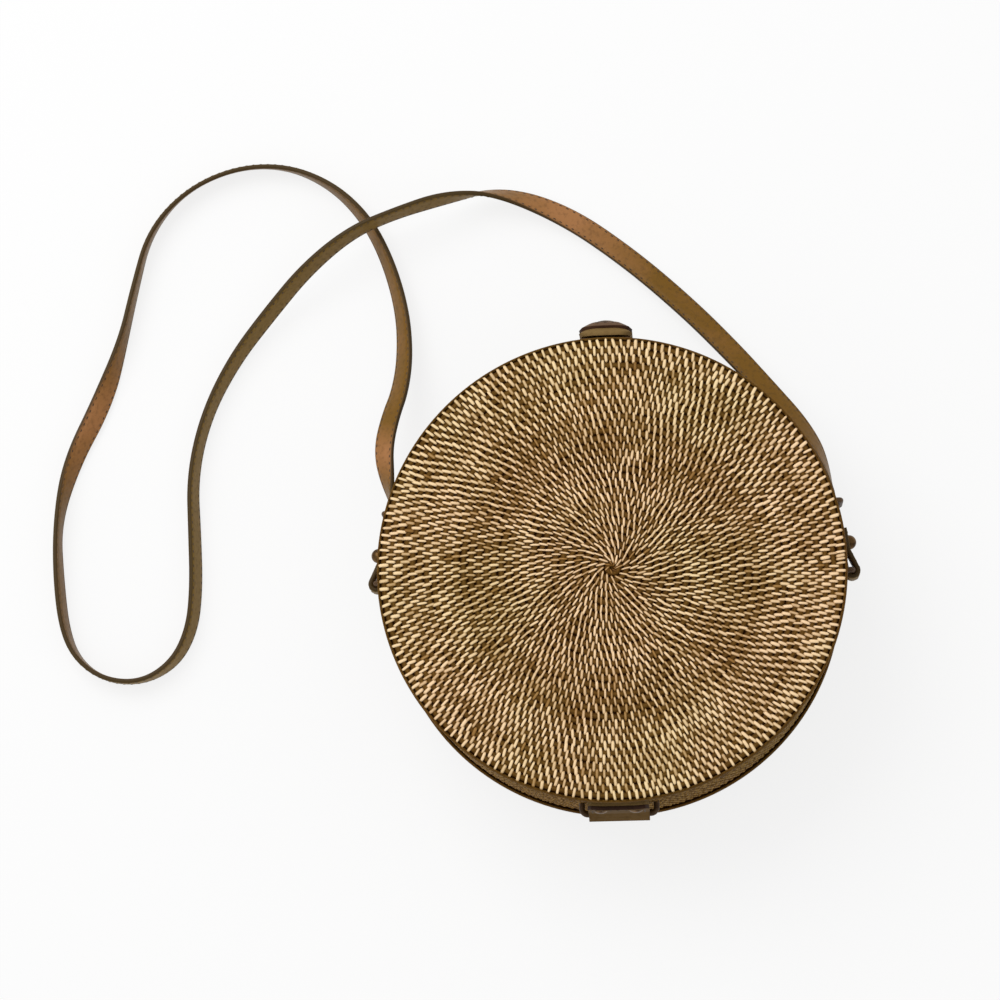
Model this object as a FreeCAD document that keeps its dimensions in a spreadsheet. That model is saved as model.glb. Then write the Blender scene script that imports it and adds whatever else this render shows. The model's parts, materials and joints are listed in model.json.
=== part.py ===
# Round coiled-cane shoulder bag, lying on its back: two shallow woven halves that open on a leather
# hinge, a leather tab that snaps them shut, and a leather shoulder strap held at both side walls.
# Millimetres. Z runs up through the round faces, Y from the hinge to the tab, and the origin is the
# middle of the back face.
import FreeCAD, Part
import math
import os
import Sketcher
from FreeCAD import Placement, Rotation, Vector

SIZES = {
    # Woven halves
    "disc_radius": 100.0,
    "disc_thickness": 4.0,
    "disc_round": 1.6,
    "back_depth": 48.0,
    "front_depth": 28.0,
    "wall_inset": 1.5,
    "wall_thickness": 4.0,
    "rim_height": 3.5,
    "rim_round": 1.2,
    "coil_pitch": 3.2,
    "coil_land": 0.8,
    "coil_groove_depth": 1.6,
    "parting_gap": 0.3,
    # Cotton linings
    "lining_thickness": 0.8,
    "lining_gap": 0.3,
    "lining_drop": 2.0,
    # Cane staples and what turns on them
    "cane_radius": 1.25,
    "cane_bend": 2.5,
    "cane_fit": 0.05,
    "cane_side_gap": 0.5,
    "cane_inset": 0.4,
    "leather_gap": 0.3,
    "ply_thickness": 1.8,
    # Hinge
    "hinge_width": 26.0,
    "hinge_drop": 3.35,
    "hinge_taper": 8.0,
    "hinge_past_rivets": 5.0,
    "hinge_rivet_inset": 5.5,
    # Rivets
    "rivet_shank_radius": 1.2,
    "rivet_head_radius": 2.8,
    "rivet_head_height": 1.0,
    "rivet_burr_radius": 2.6,
    "rivet_burr_height": 0.8,
    "rivet_seat_gap": 0.05,
    # Closure tab
    "tab_width": 22.0,
    "tab_bar_drop": 20.0,
    "tab_taper": 16.0,
    "tab_past_snap": 8.5,
    "tab_corner": 6.0,
    # Snap fastener and the patch that carries its stud
    "snap_gap": 0.3,
    "snap_side_gap": 0.5,
    "patch_thickness": 1.8,
    "patch_corner": 3.0,
    "patch_margin": 1.0,
    "patch_edge_gap": 1.7,
    "patch_rivet_gap": 0.6,
    "post_flange_radius": 4.0,
    "post_flange_height": 0.5,
    "post_radius": 1.0,
    "post_fit": 0.05,
    "stud_flange_radius": 4.6,
    "stud_flange_height": 0.6,
    "nib_height": 1.4,
    "socket_radius": 5.0,
    "socket_height": 1.6,
    "socket_plate": 0.6,
    "socket_lip": 0.6,
    "cap_radius": 6.0,
    "cap_height": 1.5,
    "cap_post_radius": 1.8,
    # Shoulder strap and its ends
    "strap_width": 10.0,
    "strap_thickness": 2.2,
    "strap_drop": 19.0,
    "strap_bar_drop": 13.0,
    "strap_keeper_rise": 18.0,
    "strap_past_keeper": 5.0,
    "strap_tail_rise": 6.0,
    "strap_tail_drop": 4.0,
    "strap_lead": 18.0,
    "knob_base_radius": 3.0,
    "knob_base_height": 0.8,
    "knob_shank_radius": 1.5,
    "knob_radius": 3.2,
    "knob_height": 3.2,
    # Every cut runs past its piece by this much
    "overrun": 5.0,
}
# Degrees from the bag's cross diameter up to the studs that hold the strap
ANCHOR_ANGLE = 8.2

# Middle line of the free strap from the right side round to the left, as it lies on the table.
# The runs that leave the two strap ends come from the anchors.
STRAP_ROUTE = [
    (87.0, 76.0, 24.0),
    (74.0, 93.0, 18.0),
    (56.0, 109.0, 12.0),
    (36.0, 131.0, 7.5),
    (10.0, 155.0, 6.0),
    (-18.0, 176.0, 6.5),
    (-47.0, 188.5, 11.0),
    (-72.0, 185.0, 17.0),
    (-95.0, 177.0, 21.0),
    (-114.0, 167.5, 21.0),
    (-133.0, 151.0, 15.0),
    (-152.0, 134.0, 9.0),
    (-168.0, 113.0, 6.0),
    (-181.0, 89.0, 5.6),
    (-187.5, 61.0, 5.6),
    (-187.0, 33.0, 5.6),
    (-186.5, 10.0, 5.6),
    (-188.5, -9.0, 5.6),
    (-196.5, -23.0, 5.6),
    (-210.5, -31.0, 5.6),
    (-226.5, -31.0, 5.6),
    (-240.5, -23.0, 5.6),
    (-248.0, -8.0, 5.6),
    (-250.0, 16.0, 5.6),
    (-249.0, 43.0, 5.6),
    (-240.0, 69.0, 5.6),
    (-229.5, 96.0, 5.6),
    (-220.5, 123.0, 5.6),
    (-215.0, 150.0, 5.6),
    (-208.0, 175.0, 5.6),
    (-192.0, 195.5, 5.6),
    (-169.0, 205.5, 5.6),
    (-145.0, 205.5, 5.6),
    (-124.0, 195.0, 5.6),
    (-108.0, 178.0, 5.6),
    (-98.5, 158.0, 5.8),
    (-92.5, 134.0, 6.5),
    (-91.5, 111.0, 10.0),
    (-95.0, 91.0, 17.0),
    (-97.0, 74.0, 25.0),
]
# Each arc of the strap takes up this share of the shorter run beside it
ARC_RUN_SHARE = 0.45
# An edge runs along an axis if this share of its direction does
STRAIGHT_SHARE = 0.9
# A rounding is at most this share of the narrower face beside its edge
ROUND_SHARE = 0.45

doc = FreeCAD.newDocument("circle_bag")
sheet = doc.addObject("Spreadsheet::Sheet", "sizes")
for row, (alias, value) in enumerate(SIZES.items(), 1):
    sheet.set(f"A{row}", alias)
    sheet.set(f"B{row}", str(value))
    sheet.setAlias(f"B{row}", alias)
doc.recompute()


def size(alias):
    return float(sheet.get(alias))


# Places worked out from the sheet
overrun = size("overrun")
wall_outer = size("disc_radius") - size("wall_inset")
wall_inner = wall_outer - size("wall_thickness")
half_gap = size("parting_gap") / 2
back_rim_base = size("back_depth") - half_gap - size("rim_height")
front_rim_base = size("back_depth") + half_gap
front_wall_base = front_rim_base + size("rim_height")
front_floor = size("back_depth") + size("front_depth") - size("disc_thickness")
front_wall_middle = (front_wall_base + front_floor) / 2
ply = size("ply_thickness")
loop_inner = size("cane_radius") + size("cane_fit")
loop_outer = loop_inner + ply
hinge_inner = wall_outer + size("leather_gap")
hinge_face = hinge_inner + 2 * ply
hinge_y = hinge_inner + loop_outer
hinge_z = back_rim_base - size("hinge_drop")
hinge_top = front_wall_middle + size("hinge_past_rivets")
hinge_rivet_spacing = size("hinge_width") - 2 * size("hinge_rivet_inset")
tab_bar_y = hinge_y
tab_bar_z = size("back_depth") - size("tab_bar_drop")
tab_top = front_wall_middle + size("tab_past_snap")
patch_rivet_reach = size("stud_flange_radius") + size("patch_rivet_gap") + size("rivet_head_radius")
patch_inner = wall_outer + size("rivet_seat_gap") + size("post_flange_height")
patch_outer = patch_inner + size("patch_thickness")
nib_top = patch_outer + size("stud_flange_height") + size("nib_height")
socket_face = nib_top + size("snap_gap")
tab_inner = socket_face + size("socket_height")
tab_outer = tab_inner + 2 * ply
strap_z = size("back_depth") - size("strap_drop")
strap_end_top = size("strap_keeper_rise") + size("strap_past_keeper")
strap_inner = wall_outer + size("leather_gap") + size("knob_base_height")
strap_outer = strap_inner + size("strap_thickness")
strap_loop_outer = loop_inner + size("strap_thickness")
strap_bar_x = strap_inner + strap_loop_outer
keeper_x = strap_outer + size("leather_gap") + size("cane_radius")

# Turns that stand a piece's own Z axis along the hinge side, the tab side and a side wall
TOWARD_HINGE = Rotation(Vector(0, 0, 1), Vector(0, -1, 0))
TOWARD_TAB = Rotation(Vector(0, 0, 1), Vector(0, 1, 0))
TOWARD_SIDE = Rotation(Vector(0, 0, 1), Vector(1, 0, 0))


def anchor_frame(side):
    """Frame of a strap end: X out of the wall, Y up the strap, origin level with the strap's middle."""
    turn = ANCHOR_ANGLE if side == "right" else 180.0 - ANCHOR_ANGLE
    return Placement(Vector(0, 0, strap_z), Rotation(Vector(0, 0, 1), turn))


def anchor_y(side, rise):
    """A strap end's Y of a place that lies this far up the strap from its stud."""
    return rise if side == "right" else -rise


def chord_inside(offset):
    """Distance from the bag's axis plane to the wall's inner face, this far off the middle."""
    return math.sqrt(wall_inner ** 2 - offset ** 2)


def rounding(radius, face):
    """Expression for an edge's rounding, limited by the face beside it."""
    return f"min(sizes.{radius}; {ROUND_SHARE} * {face})"


# Building blocks

def primitive(kind, name, place, **expressions):
    piece = doc.addObject(kind, name)
    for field, expression in expressions.items():
        piece.setExpression(field, expression)
    piece.Placement = place
    return piece


def bore(name, place, radius, length):
    """Cutting rod: its axis is the placement's Z, and it starts one overrun before the placement."""
    start = place.multiply(Placement(Vector(0, 0, -overrun), Rotation()))
    rod = doc.addObject("Part::Cylinder", name)
    rod.setExpression("Radius", radius)
    rod.Height = length + 2 * overrun
    rod.Placement = start
    return rod


def bored(name, base, rods):
    """The base with rods cut from it, checked to have lost material."""
    tools = doc.addObject("Part::Compound", name + "_rods")
    tools.Links = rods
    piece = doc.addObject("Part::Cut", name)
    piece.Base = base
    piece.Tool = tools
    doc.recompute()
    if piece.Shape.Volume >= base.Shape.Volume:
        raise ValueError(name + ": a bore missed its piece")
    return piece


def new_body(name, place):
    body = doc.addObject("PartDesign::Body", name)
    body.Placement = place
    return body


def new_sketch(body, name, role):
    sketch = body.newObject("Sketcher::SketchObject", name)
    plane = next(feature for feature in body.Origin.OriginFeatures if feature.Role == role)
    sketch.AttachmentSupport = [(plane, "")]
    sketch.MapMode = "FlatFace"
    return sketch


def add_circle(sketch, radius):
    """Circle about the sketch's origin whose radius is bound to the sheet."""
    index = sketch.addGeometry(Part.Circle(Vector(), Vector(0, 0, 1), size("disc_radius")), False)
    sketch.addConstraint(Sketcher.Constraint("Coincident", index, 3, -1, 1))
    constraint = sketch.addConstraint(Sketcher.Constraint("Radius", index, size("disc_radius")))
    sketch.setExpression(f"Constraints[{constraint}]", radius)


def pad(body, sketch, length, both_ways=False):
    feature = body.newObject("PartDesign::Pad", body.Name + "_pad")
    feature.Profile = sketch
    feature.setExpression("Length", length)
    feature.Midplane = both_ways
    doc.recompute()
    return feature


def round_edges(body, feature, radius, wanted):
    """Fillet on the edges of a feature whose middle point passes the test."""
    names = []
    for index, edge in enumerate(feature.Shape.Edges, 1):
        middle = edge.valueAt((edge.FirstParameter + edge.LastParameter) / 2)
        if wanted(edge, middle):
            names.append(f"Edge{index}")
    fillet = body.newObject("PartDesign::Fillet", body.Name + "_round")
    fillet.Base = (feature, names)
    fillet.setExpression("Radius", radius)
    doc.recompute()
    return fillet


def polyline(*points):
    ends = [Vector(*point) for point in points]
    return [Part.LineSegment(start, end) for start, end in zip(ends, ends[1:])]


def dome(radius, base, height):
    """Low domed profile from a rim at (radius, base) to the axis."""
    sphere = (radius ** 2 + height ** 2) / (2 * height)
    middle_angle = math.asin(min(1.0, radius / sphere)) / 2
    centre = base + height - sphere
    middle = Vector(sphere * math.sin(middle_angle), centre + sphere * math.cos(middle_angle), 0)
    return Part.Arc(Vector(radius, base, 0), middle, Vector(0, base + height, 0))


def turned(name, edges, place):
    """Solid turned about the placement's Z from edges drawn as radius and height."""
    body = new_body(name, place)
    sketch = new_sketch(body, name + "_profile", "XZ_Plane")
    sketch.addGeometry(edges, False)
    feature = body.newObject("PartDesign::Revolution", name + "_turn")
    feature.Profile = sketch
    feature.ReferenceAxis = (sketch, ["V_Axis"])
    feature.Angle = 360
    return body


def group(name, pieces):
    compound = doc.addObject("Part::Compound", name)
    compound.Links = pieces
    return compound


# Woven halves

OUTER_WALL = "(sizes.disc_radius - sizes.wall_inset)"
INNER_WALL = "(sizes.disc_radius - sizes.wall_inset - sizes.wall_thickness)"
HINGE_RIVET_REACH = "(sizes.hinge_width / 2 - sizes.hinge_rivet_inset + sizes.rivet_burr_radius)"
PATCH_RIVET_REACH = ("(sizes.stud_flange_radius + sizes.patch_rivet_gap + sizes.rivet_head_radius"
                     " + sizes.rivet_burr_radius)")
# The linings hang clear of the rivets' burrs
LINING_RADIUS = (f"min(sqrt({INNER_WALL}^2 - {HINGE_RIVET_REACH}^2); sqrt({INNER_WALL}^2 - {PATCH_RIVET_REACH}^2))"
                 " - sizes.rivet_seat_gap - sizes.rivet_burr_height - sizes.lining_gap")


def coils_across(span):
    """Whole coils that fill a span, their pitch, and half the width of the groove between two."""
    count = round(span / size("coil_pitch"))
    pitch = span / count
    return count, pitch, (pitch - size("coil_land")) / 2


def disc(name, height, upward):
    """Coiled round face, its two edges rounded like the outermost coil, grooved on its outer side."""
    body = new_body(name, Placement(Vector(0, 0, height), Rotation()))
    sketch = new_sketch(body, name + "_outline", "XY_Plane")
    add_circle(sketch, "sizes.disc_radius")
    plate = pad(body, sketch, "sizes.disc_thickness")
    round_edges(body, plate, rounding("disc_round", "sizes.disc_thickness"),
                lambda edge, middle: len(edge.Vertexes) == 1)
    profile = new_sketch(body, name + "_groove_profile", "XZ_Plane")
    coils, pitch, half = coils_across(size("disc_radius"))
    face = size("disc_thickness") if upward else 0.0
    outward = 1 if upward else -1
    bottom = face - outward * size("coil_groove_depth")
    outside = face + outward * overrun
    for coil in range(1, coils):
        radius = coil * pitch
        profile.addGeometry(polyline((radius - half, outside), (radius - half, face), (radius, bottom),
                                     (radius + half, face), (radius + half, outside),
                                     (radius - half, outside)), False)
    grooves = body.newObject("PartDesign::Groove", name + "_grooves")
    grooves.Profile = profile
    grooves.ReferenceAxis = (profile, ["V_Axis"])
    grooves.Angle = 360
    return body


def rim(name, base, upward):
    """Ring coil that finishes a half's open edge, rounded towards the parting."""
    body = new_body(name, Placement(Vector(0, 0, base), Rotation()))
    sketch = new_sketch(body, name + "_outline", "XY_Plane")
    add_circle(sketch, OUTER_WALL)
    add_circle(sketch, INNER_WALL)
    ring = pad(body, sketch, "sizes.rim_height")
    open_side = size("rim_height") if upward else 0.0
    is_open_edge = lambda edge, middle: edge.isClosed() and abs(middle.z - open_side) < half_gap
    round_edges(body, ring, rounding("rim_round", "sizes.wall_thickness"), is_open_edge)
    return body


def wall_tube(name, base, top):
    """Side wall of a half, between its disc and its rim, with its coils outside."""
    coils, pitch, half = coils_across(top - base)
    bottom = wall_outer - size("coil_groove_depth")
    outline = [(wall_inner, base), (wall_outer, base)]
    for coil in range(1, coils):
        middle = base + coil * pitch
        outline += [(wall_outer, middle - half), (bottom, middle), (wall_outer, middle + half)]
    outline += [(wall_outer, top), (wall_inner, top), (wall_inner, base)]
    return turned(name, polyline(*outline), Placement())


def lining(name, depth, floor, upward):
    """Cloth cup inside a half of this depth, standing on its disc."""
    height = f"(sizes.{depth} - sizes.disc_thickness - sizes.lining_drop)"
    turn = Rotation() if upward else Rotation(Vector(1, 0, 0), 180)
    place = Placement(Vector(0, 0, floor), turn)
    hollow = place.multiply(Placement(Vector(0, 0, size("lining_thickness")), Rotation()))
    cup = doc.addObject("Part::Cut", name)
    cup.Base = primitive("Part::Cylinder", name + "_outside", place, Radius=LINING_RADIUS, Height=height)
    cup.Tool = primitive("Part::Cylinder", name + "_inside", hollow,
                         Radius=f"{LINING_RADIUS} - sizes.lining_thickness", Height=height)
    return cup


back_disc = disc("back_disc", 0.0, False)
front_disc = disc("front_disc", front_floor, True)
back_tube = wall_tube("back_tube", size("disc_thickness"), back_rim_base)
front_tube = wall_tube("front_tube", front_wall_base, front_floor)
back_rim = rim("back_rim", back_rim_base, True)
front_rim = rim("front_rim", front_rim_base, False)
back_lining = lining("back_lining", "back_depth", size("disc_thickness"), True)
front_lining = lining("front_lining", "front_depth", front_floor, False)


# Cane staples: a bar held off the wall by two bent legs glued into the weave

def staple(name, span, leg, place):
    """Bar along the placement's Y at its origin, with legs that run back along minus X."""
    bend = size("cane_bend")
    half = span / 2
    knee = bend * (1 - math.sqrt(0.5))
    lower = [Vector(-bend, -half, 0), Vector(-knee, -half + knee, 0), Vector(0, -half + bend, 0)]
    upper = [Vector(0, half - bend, 0), Vector(-knee, half - knee, 0), Vector(-bend, half, 0)]
    lines = [Part.LineSegment(Vector(-leg, -half, 0), lower[0]), Part.Arc(*lower),
             Part.LineSegment(lower[2], upper[0]), Part.Arc(*upper),
             Part.LineSegment(upper[2], Vector(-leg, half, 0))]
    path = doc.addObject("Part::Feature", name + "_path")
    path.Shape = Part.Wire([line.toShape() for line in lines])
    path.Placement = place
    section = doc.addObject("Part::Circle", name + "_section")
    section.setExpression("Radius", "sizes.cane_radius")
    section.Placement = place.multiply(Placement(Vector(-leg, -half, 0), TOWARD_SIDE))
    rod = doc.addObject("Part::Sweep", name)
    rod.Sections = [section]
    rod.Spine = (path, [])
    rod.Solid = True
    return rod


def leg_bores(name, span, leg, place):
    """Cutting rods for a staple's two legs, from the leg's end out to its bend."""
    radius = "sizes.cane_radius + sizes.cane_fit"
    rods = []
    for index, side in enumerate((-1, 1), 1):
        start = place.multiply(Placement(Vector(-leg, side * span / 2, 0), TOWARD_SIDE))
        rods.append(bore(f"{name}_leg_{index}", start, radius, leg - size("cane_bend") - overrun))
    return rods


def staple_span(width):
    return width + 2 * size("cane_side_gap") + 2 * size("cane_bend")


# Frames whose X points out of the bag and Y lies along the bar
hinge_frame = Placement(Vector(0, -hinge_y, hinge_z), Rotation(Vector(0, 0, 1), -90))
tab_frame = Placement(Vector(0, tab_bar_y, tab_bar_z), Rotation(Vector(0, 0, 1), 90))
upright = Rotation(Vector(1, 0, 0), 90)
back_bores = []

hinge_span = staple_span(size("hinge_width"))
hinge_leg = hinge_y - chord_inside(hinge_span / 2) - size("cane_inset")
hinge_bar = staple("hinge_bar", hinge_span, hinge_leg, hinge_frame)
back_bores += leg_bores("hinge", hinge_span, hinge_leg, hinge_frame)

tab_span = staple_span(size("tab_width"))
tab_leg = tab_bar_y - chord_inside(tab_span / 2) - size("cane_inset")
tab_bar = staple("tab_bar", tab_span, tab_leg, tab_frame)
back_bores += leg_bores("tab", tab_span, tab_leg, tab_frame)

strap_span = staple_span(size("strap_width"))
strap_staples = []
for side in ("right", "left"):
    for piece, out, up in (("bar", strap_bar_x, -size("strap_bar_drop")),
                           ("keeper", keeper_x, size("strap_keeper_rise"))):
        name = f"{side}_strap_{piece}"
        local = Placement(Vector(out, anchor_y(side, up), 0), upright)
        frame = anchor_frame(side).multiply(local)
        leg = out - chord_inside(up) - size("cane_inset")
        strap_staples.append(staple(name, strap_span, leg, frame))
        back_bores += leg_bores(name, strap_span, leg, frame)

back_wall = bored("back_wall", back_tube, back_bores)


# Rivets: a domed head outside, a shank, and a flat burr inside the wall

def rivet(name, grip, place):
    """Turned about the placement's Z, whose origin is under the burr's seat."""
    shank = size("rivet_shank_radius")
    burr = size("rivet_burr_radius")
    depth = size("rivet_burr_height")
    head = size("rivet_head_radius")
    edges = polyline((0, -depth), (burr, -depth), (burr, 0), (shank, 0), (shank, grip), (head, grip))
    edges.append(dome(head, grip, size("rivet_head_height")))
    edges += polyline((0, grip + size("rivet_head_height")), (0, -depth))
    return turned(name, edges, place)


def rivet_pair(name, spacing, face, turn):
    """Two rivets side by side through the middle of the front wall, with the rods that bore their way."""
    seat = chord_inside(spacing / 2 + size("rivet_burr_radius")) - size("rivet_seat_gap")
    outward = turn.multVec(Vector(0, 0, 1))
    pieces = []
    rods = []
    for index, across in enumerate((-spacing / 2, spacing / 2), 1):
        place = Placement(Vector(across, 0, front_wall_middle) + outward * seat, turn)
        pieces.append(rivet(f"{name}_{index}", face - seat, place))
        radius = "sizes.rivet_shank_radius + sizes.rivet_seat_gap"
        rods.append(bore(f"{name}_rod_{index}", place, radius, face - seat))
    return group(name, pieces), rods


# Leather hinge: one strip doubled round the hinge bar and riveted to the front wall

def looped_strip(name, width, edges):
    """Strip drawn from the side, across Y and Z, with a loop about its bar."""
    body = new_body(name, Placement())
    sketch = new_sketch(body, name + "_side", "YZ_Plane")
    sketch.addGeometry(edges, False)
    return body, pad(body, sketch, width, both_ways=True)


def loop_eye(centre):
    return Part.Circle(centre, Vector(0, 0, 1), loop_inner)


hinge_centre = Vector(-hinge_y, hinge_z, 0)
hinge_edges = polyline((-hinge_inner, hinge_z), (-hinge_inner, hinge_top), (-hinge_face, hinge_top),
                       (-hinge_face, hinge_z + size("hinge_taper")), (-hinge_y - loop_outer, hinge_z))
hinge_edges.append(Part.Arc(Vector(-hinge_y - loop_outer, hinge_z, 0), hinge_centre - Vector(0, loop_outer, 0),
                            Vector(-hinge_inner, hinge_z, 0)))
hinge_edges.append(loop_eye(hinge_centre))
hinge_body, hinge_pad = looped_strip("hinge_strip", "sizes.hinge_width", hinge_edges)
hinge_rivets, hinge_rods = rivet_pair("hinge_rivets", hinge_rivet_spacing, hinge_face, TOWARD_HINGE)
hinge_strap = bored("hinge_strap", hinge_body, hinge_rods)


# Closure tab: a leather strip doubled round its bar, with the cap and socket of the snap

bend_z = tab_bar_z + size("tab_taper")
tab_centre = Vector(tab_bar_y, tab_bar_z, 0)
tab_edges = polyline((tab_bar_y - loop_outer, tab_bar_z), (tab_inner, bend_z), (tab_inner, tab_top),
                     (tab_outer, tab_top), (tab_outer, bend_z), (tab_bar_y + loop_outer, tab_bar_z))
tab_edges.append(Part.Arc(Vector(tab_bar_y + loop_outer, tab_bar_z, 0), tab_centre - Vector(0, loop_outer, 0),
                          Vector(tab_bar_y - loop_outer, tab_bar_z, 0)))
tab_edges.append(loop_eye(tab_centre))
tab_body, tab_pad = looped_strip("tab_strip", "sizes.tab_width", tab_edges)
is_tab_corner = lambda edge, middle: (abs(middle.z - tab_top) < half_gap
                                      and abs(edge.tangentAt(edge.FirstParameter).y) > STRAIGHT_SHARE)
round_edges(tab_body, tab_pad, rounding("tab_corner", "sizes.tab_width"), is_tab_corner)
snap_axis = Placement(Vector(0, 0, front_wall_middle), TOWARD_TAB)


def along_snap(distance):
    return snap_axis.multiply(Placement(Vector(0, 0, distance), Rotation()))


cap_rod = bore("cap_rod", along_snap(tab_inner), "sizes.cap_post_radius + sizes.post_fit", tab_outer - tab_inner)
closure_tab = bored("closure_tab", tab_body, [cap_rod])
cap_post = size("cap_post_radius")
cap_foot = socket_face + size("socket_height") - size("socket_plate")
cap_edges = polyline((0, cap_foot), (cap_post, cap_foot), (cap_post, tab_outer), (size("cap_radius"), tab_outer))
cap_edges.append(dome(size("cap_radius"), tab_outer, size("cap_height")))
cap_edges += polyline((0, tab_outer + size("cap_height")), (0, cap_foot))
snap_cap = turned("snap_cap", cap_edges, snap_axis)
socket_hole = cap_post + size("post_fit")
socket_mouth = cap_post + size("socket_lip")
socket_edges = polyline((socket_mouth, socket_face), (size("socket_radius"), socket_face),
                        (size("socket_radius"), tab_inner), (socket_hole, tab_inner),
                        (socket_hole, cap_foot), (socket_mouth, cap_foot), (socket_mouth, socket_face))
snap_socket = turned("snap_socket", socket_edges, snap_axis)


# Stud patch: leather on the front wall that carries the snap's stud

patch_body = new_body("patch_leather", along_snap(patch_inner))
patch_sketch = new_sketch(patch_body, "patch_outline", "XY_Plane")
half_width = patch_rivet_reach + size("rivet_head_radius") + size("patch_margin")
half_height = (front_floor - front_wall_base) / 2 - size("patch_edge_gap")
patch_sketch.addGeometry(polyline((-half_width, -half_height), (half_width, -half_height),
                                  (half_width, half_height), (-half_width, half_height),
                                  (-half_width, -half_height)), False)
patch_pad = pad(patch_body, patch_sketch, "sizes.patch_thickness")
round_edges(patch_body, patch_pad, rounding("patch_corner", 2 * half_height),
            lambda edge, middle: abs(edge.tangentAt(edge.FirstParameter).z) > STRAIGHT_SHARE)
patch_rivets, patch_rods = rivet_pair("stud_patch_rivets", 2 * patch_rivet_reach, patch_outer, TOWARD_TAB)
post_rod = bore("post_rod", along_snap(patch_inner), "sizes.post_radius + sizes.post_fit",
                patch_outer - patch_inner)
stud_patch = bored("stud_patch", patch_body, patch_rods + [post_rod])
front_wall = bored("front_wall", front_tube, hinge_rods + patch_rods)

post = size("post_radius")
post_base = patch_inner - size("post_flange_height")
post_top = patch_outer + size("stud_flange_height")
stud_post = turned("stud_post", polyline((0, post_base), (size("post_flange_radius"), post_base),
                                         (size("post_flange_radius"), patch_inner), (post, patch_inner),
                                         (post, post_top), (0, post_top), (0, post_base)), snap_axis)
stud_hole = post + size("post_fit")
nib = socket_mouth - size("snap_side_gap")
stud_edges = polyline((0, post_top), (stud_hole, post_top), (stud_hole, patch_outer),
                      (size("stud_flange_radius"), patch_outer), (size("stud_flange_radius"), post_top),
                      (nib, post_top))
stud_edges.append(dome(nib, post_top, size("nib_height")))
stud_edges += polyline((0, nib_top), (0, post_top))
snap_stud = turned("snap_stud", stud_edges, snap_axis)


# Strap ends: the strap runs down the wall, round its bar, and back up to a knobbed stud

def strap_end(side):
    """Doubled end drawn from above in the frame of its anchor, with an open loop about the bar."""
    bar = -size("strap_bar_drop")
    joined = -size("strap_tail_drop")
    tail_top = size("strap_tail_rise")
    tail_face = strap_outer + size("strap_thickness")
    flip = 1 if side == "right" else -1
    # The tail leans out from where the plies join until it is tangent to the loop
    lean = 2 * math.atan(loop_inner / (joined - bar))
    tail_corner = joined + size("strap_thickness") * math.tan(lean / 2)

    def place(out, up):
        return Vector(out, flip * up, 0)

    def tangent(radius):
        return place(strap_bar_x + radius * math.cos(lean), bar + radius * math.sin(lean))

    outside = [place(strap_inner, bar), place(strap_inner, strap_end_top), place(strap_outer, strap_end_top),
               place(strap_outer, tail_top), place(tail_face, tail_top), place(tail_face, tail_corner),
               tangent(strap_loop_outer)]
    edges = [Part.LineSegment(start, end) for start, end in zip(outside, outside[1:])]
    edges.append(Part.Arc(outside[-1], place(strap_bar_x, bar - strap_loop_outer), outside[0]))
    hole = [place(strap_bar_x - loop_inner, bar), place(strap_outer, joined), tangent(loop_inner)]
    edges += [Part.LineSegment(start, end) for start, end in zip(hole, hole[1:])]
    edges.append(Part.Arc(hole[2], place(strap_bar_x, bar - loop_inner), hole[0]))
    body = new_body(f"{side}_strap_leather", anchor_frame(side))
    sketch = new_sketch(body, f"{side}_strap_side", "XY_Plane")
    sketch.addGeometry(edges, False)
    pad(body, sketch, "sizes.strap_width", both_ways=True)
    way = anchor_frame(side).multiply(Placement(Vector(strap_inner, 0, 0), TOWARD_SIDE))
    rod = bore(f"{side}_knob_rod", way, "sizes.knob_shank_radius + sizes.post_fit", tail_face - strap_inner)
    return bored(f"{side}_strap_end", body, [rod])


def strap_knob(side):
    """Stud through both plies: a flat base against the wall and a round knob outside."""
    shank = size("knob_shank_radius")
    base = size("knob_base_radius")
    inside = strap_inner - size("knob_base_height")
    outside = strap_outer + size("strap_thickness")
    knob = size("knob_radius")
    edges = polyline((0, inside), (base, inside), (base, strap_inner), (shank, strap_inner),
                     (shank, outside), (knob, outside))
    edges.append(dome(knob, outside, size("knob_height")))
    edges += polyline((0, outside + size("knob_height")), (0, inside))
    return turned(f"{side}_strap_stud", edges, anchor_frame(side).multiply(Placement(Vector(), TOWARD_SIDE)))


strap_ends = [strap_end("right"), strap_end("left")]
strap_studs = [strap_knob("right"), strap_knob("left")]


# Free shoulder strap, on edge along its route

def strap_lead(side):
    """The strap's first two points at a side: where it leaves its end, and a straight lead."""
    middle = (strap_inner + strap_outer) / 2
    rises = (strap_end_top, strap_end_top + size("strap_lead"))
    return [anchor_frame(side).multVec(Vector(middle, anchor_y(side, rise), 0)) for rise in rises]


def rounded_route(points):
    """Straight runs joined by tangent arcs, each as large as its two runs allow."""
    edges = []
    radii = []
    start = points[0]
    for before, corner, after in zip(points, points[1:], points[2:]):
        inward = (before - corner).normalize()
        onward = (after - corner).normalize()
        turn = math.pi - inward.getAngle(onward)
        reach = ARC_RUN_SHARE * min((before - corner).Length, (after - corner).Length)
        radius = reach / math.tan(turn / 2)
        toward = (inward + onward).normalize()
        middle = corner + toward * (radius / math.cos(turn / 2) - radius)
        edges.append(Part.LineSegment(start, corner + inward * reach).toShape())
        edges.append(Part.Arc(corner + inward * reach, middle, corner + onward * reach).toShape())
        start = corner + onward * reach
        radii.append(radius)
    edges.append(Part.LineSegment(start, points[-1]).toShape())
    return Part.Wire(edges), radii


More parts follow.
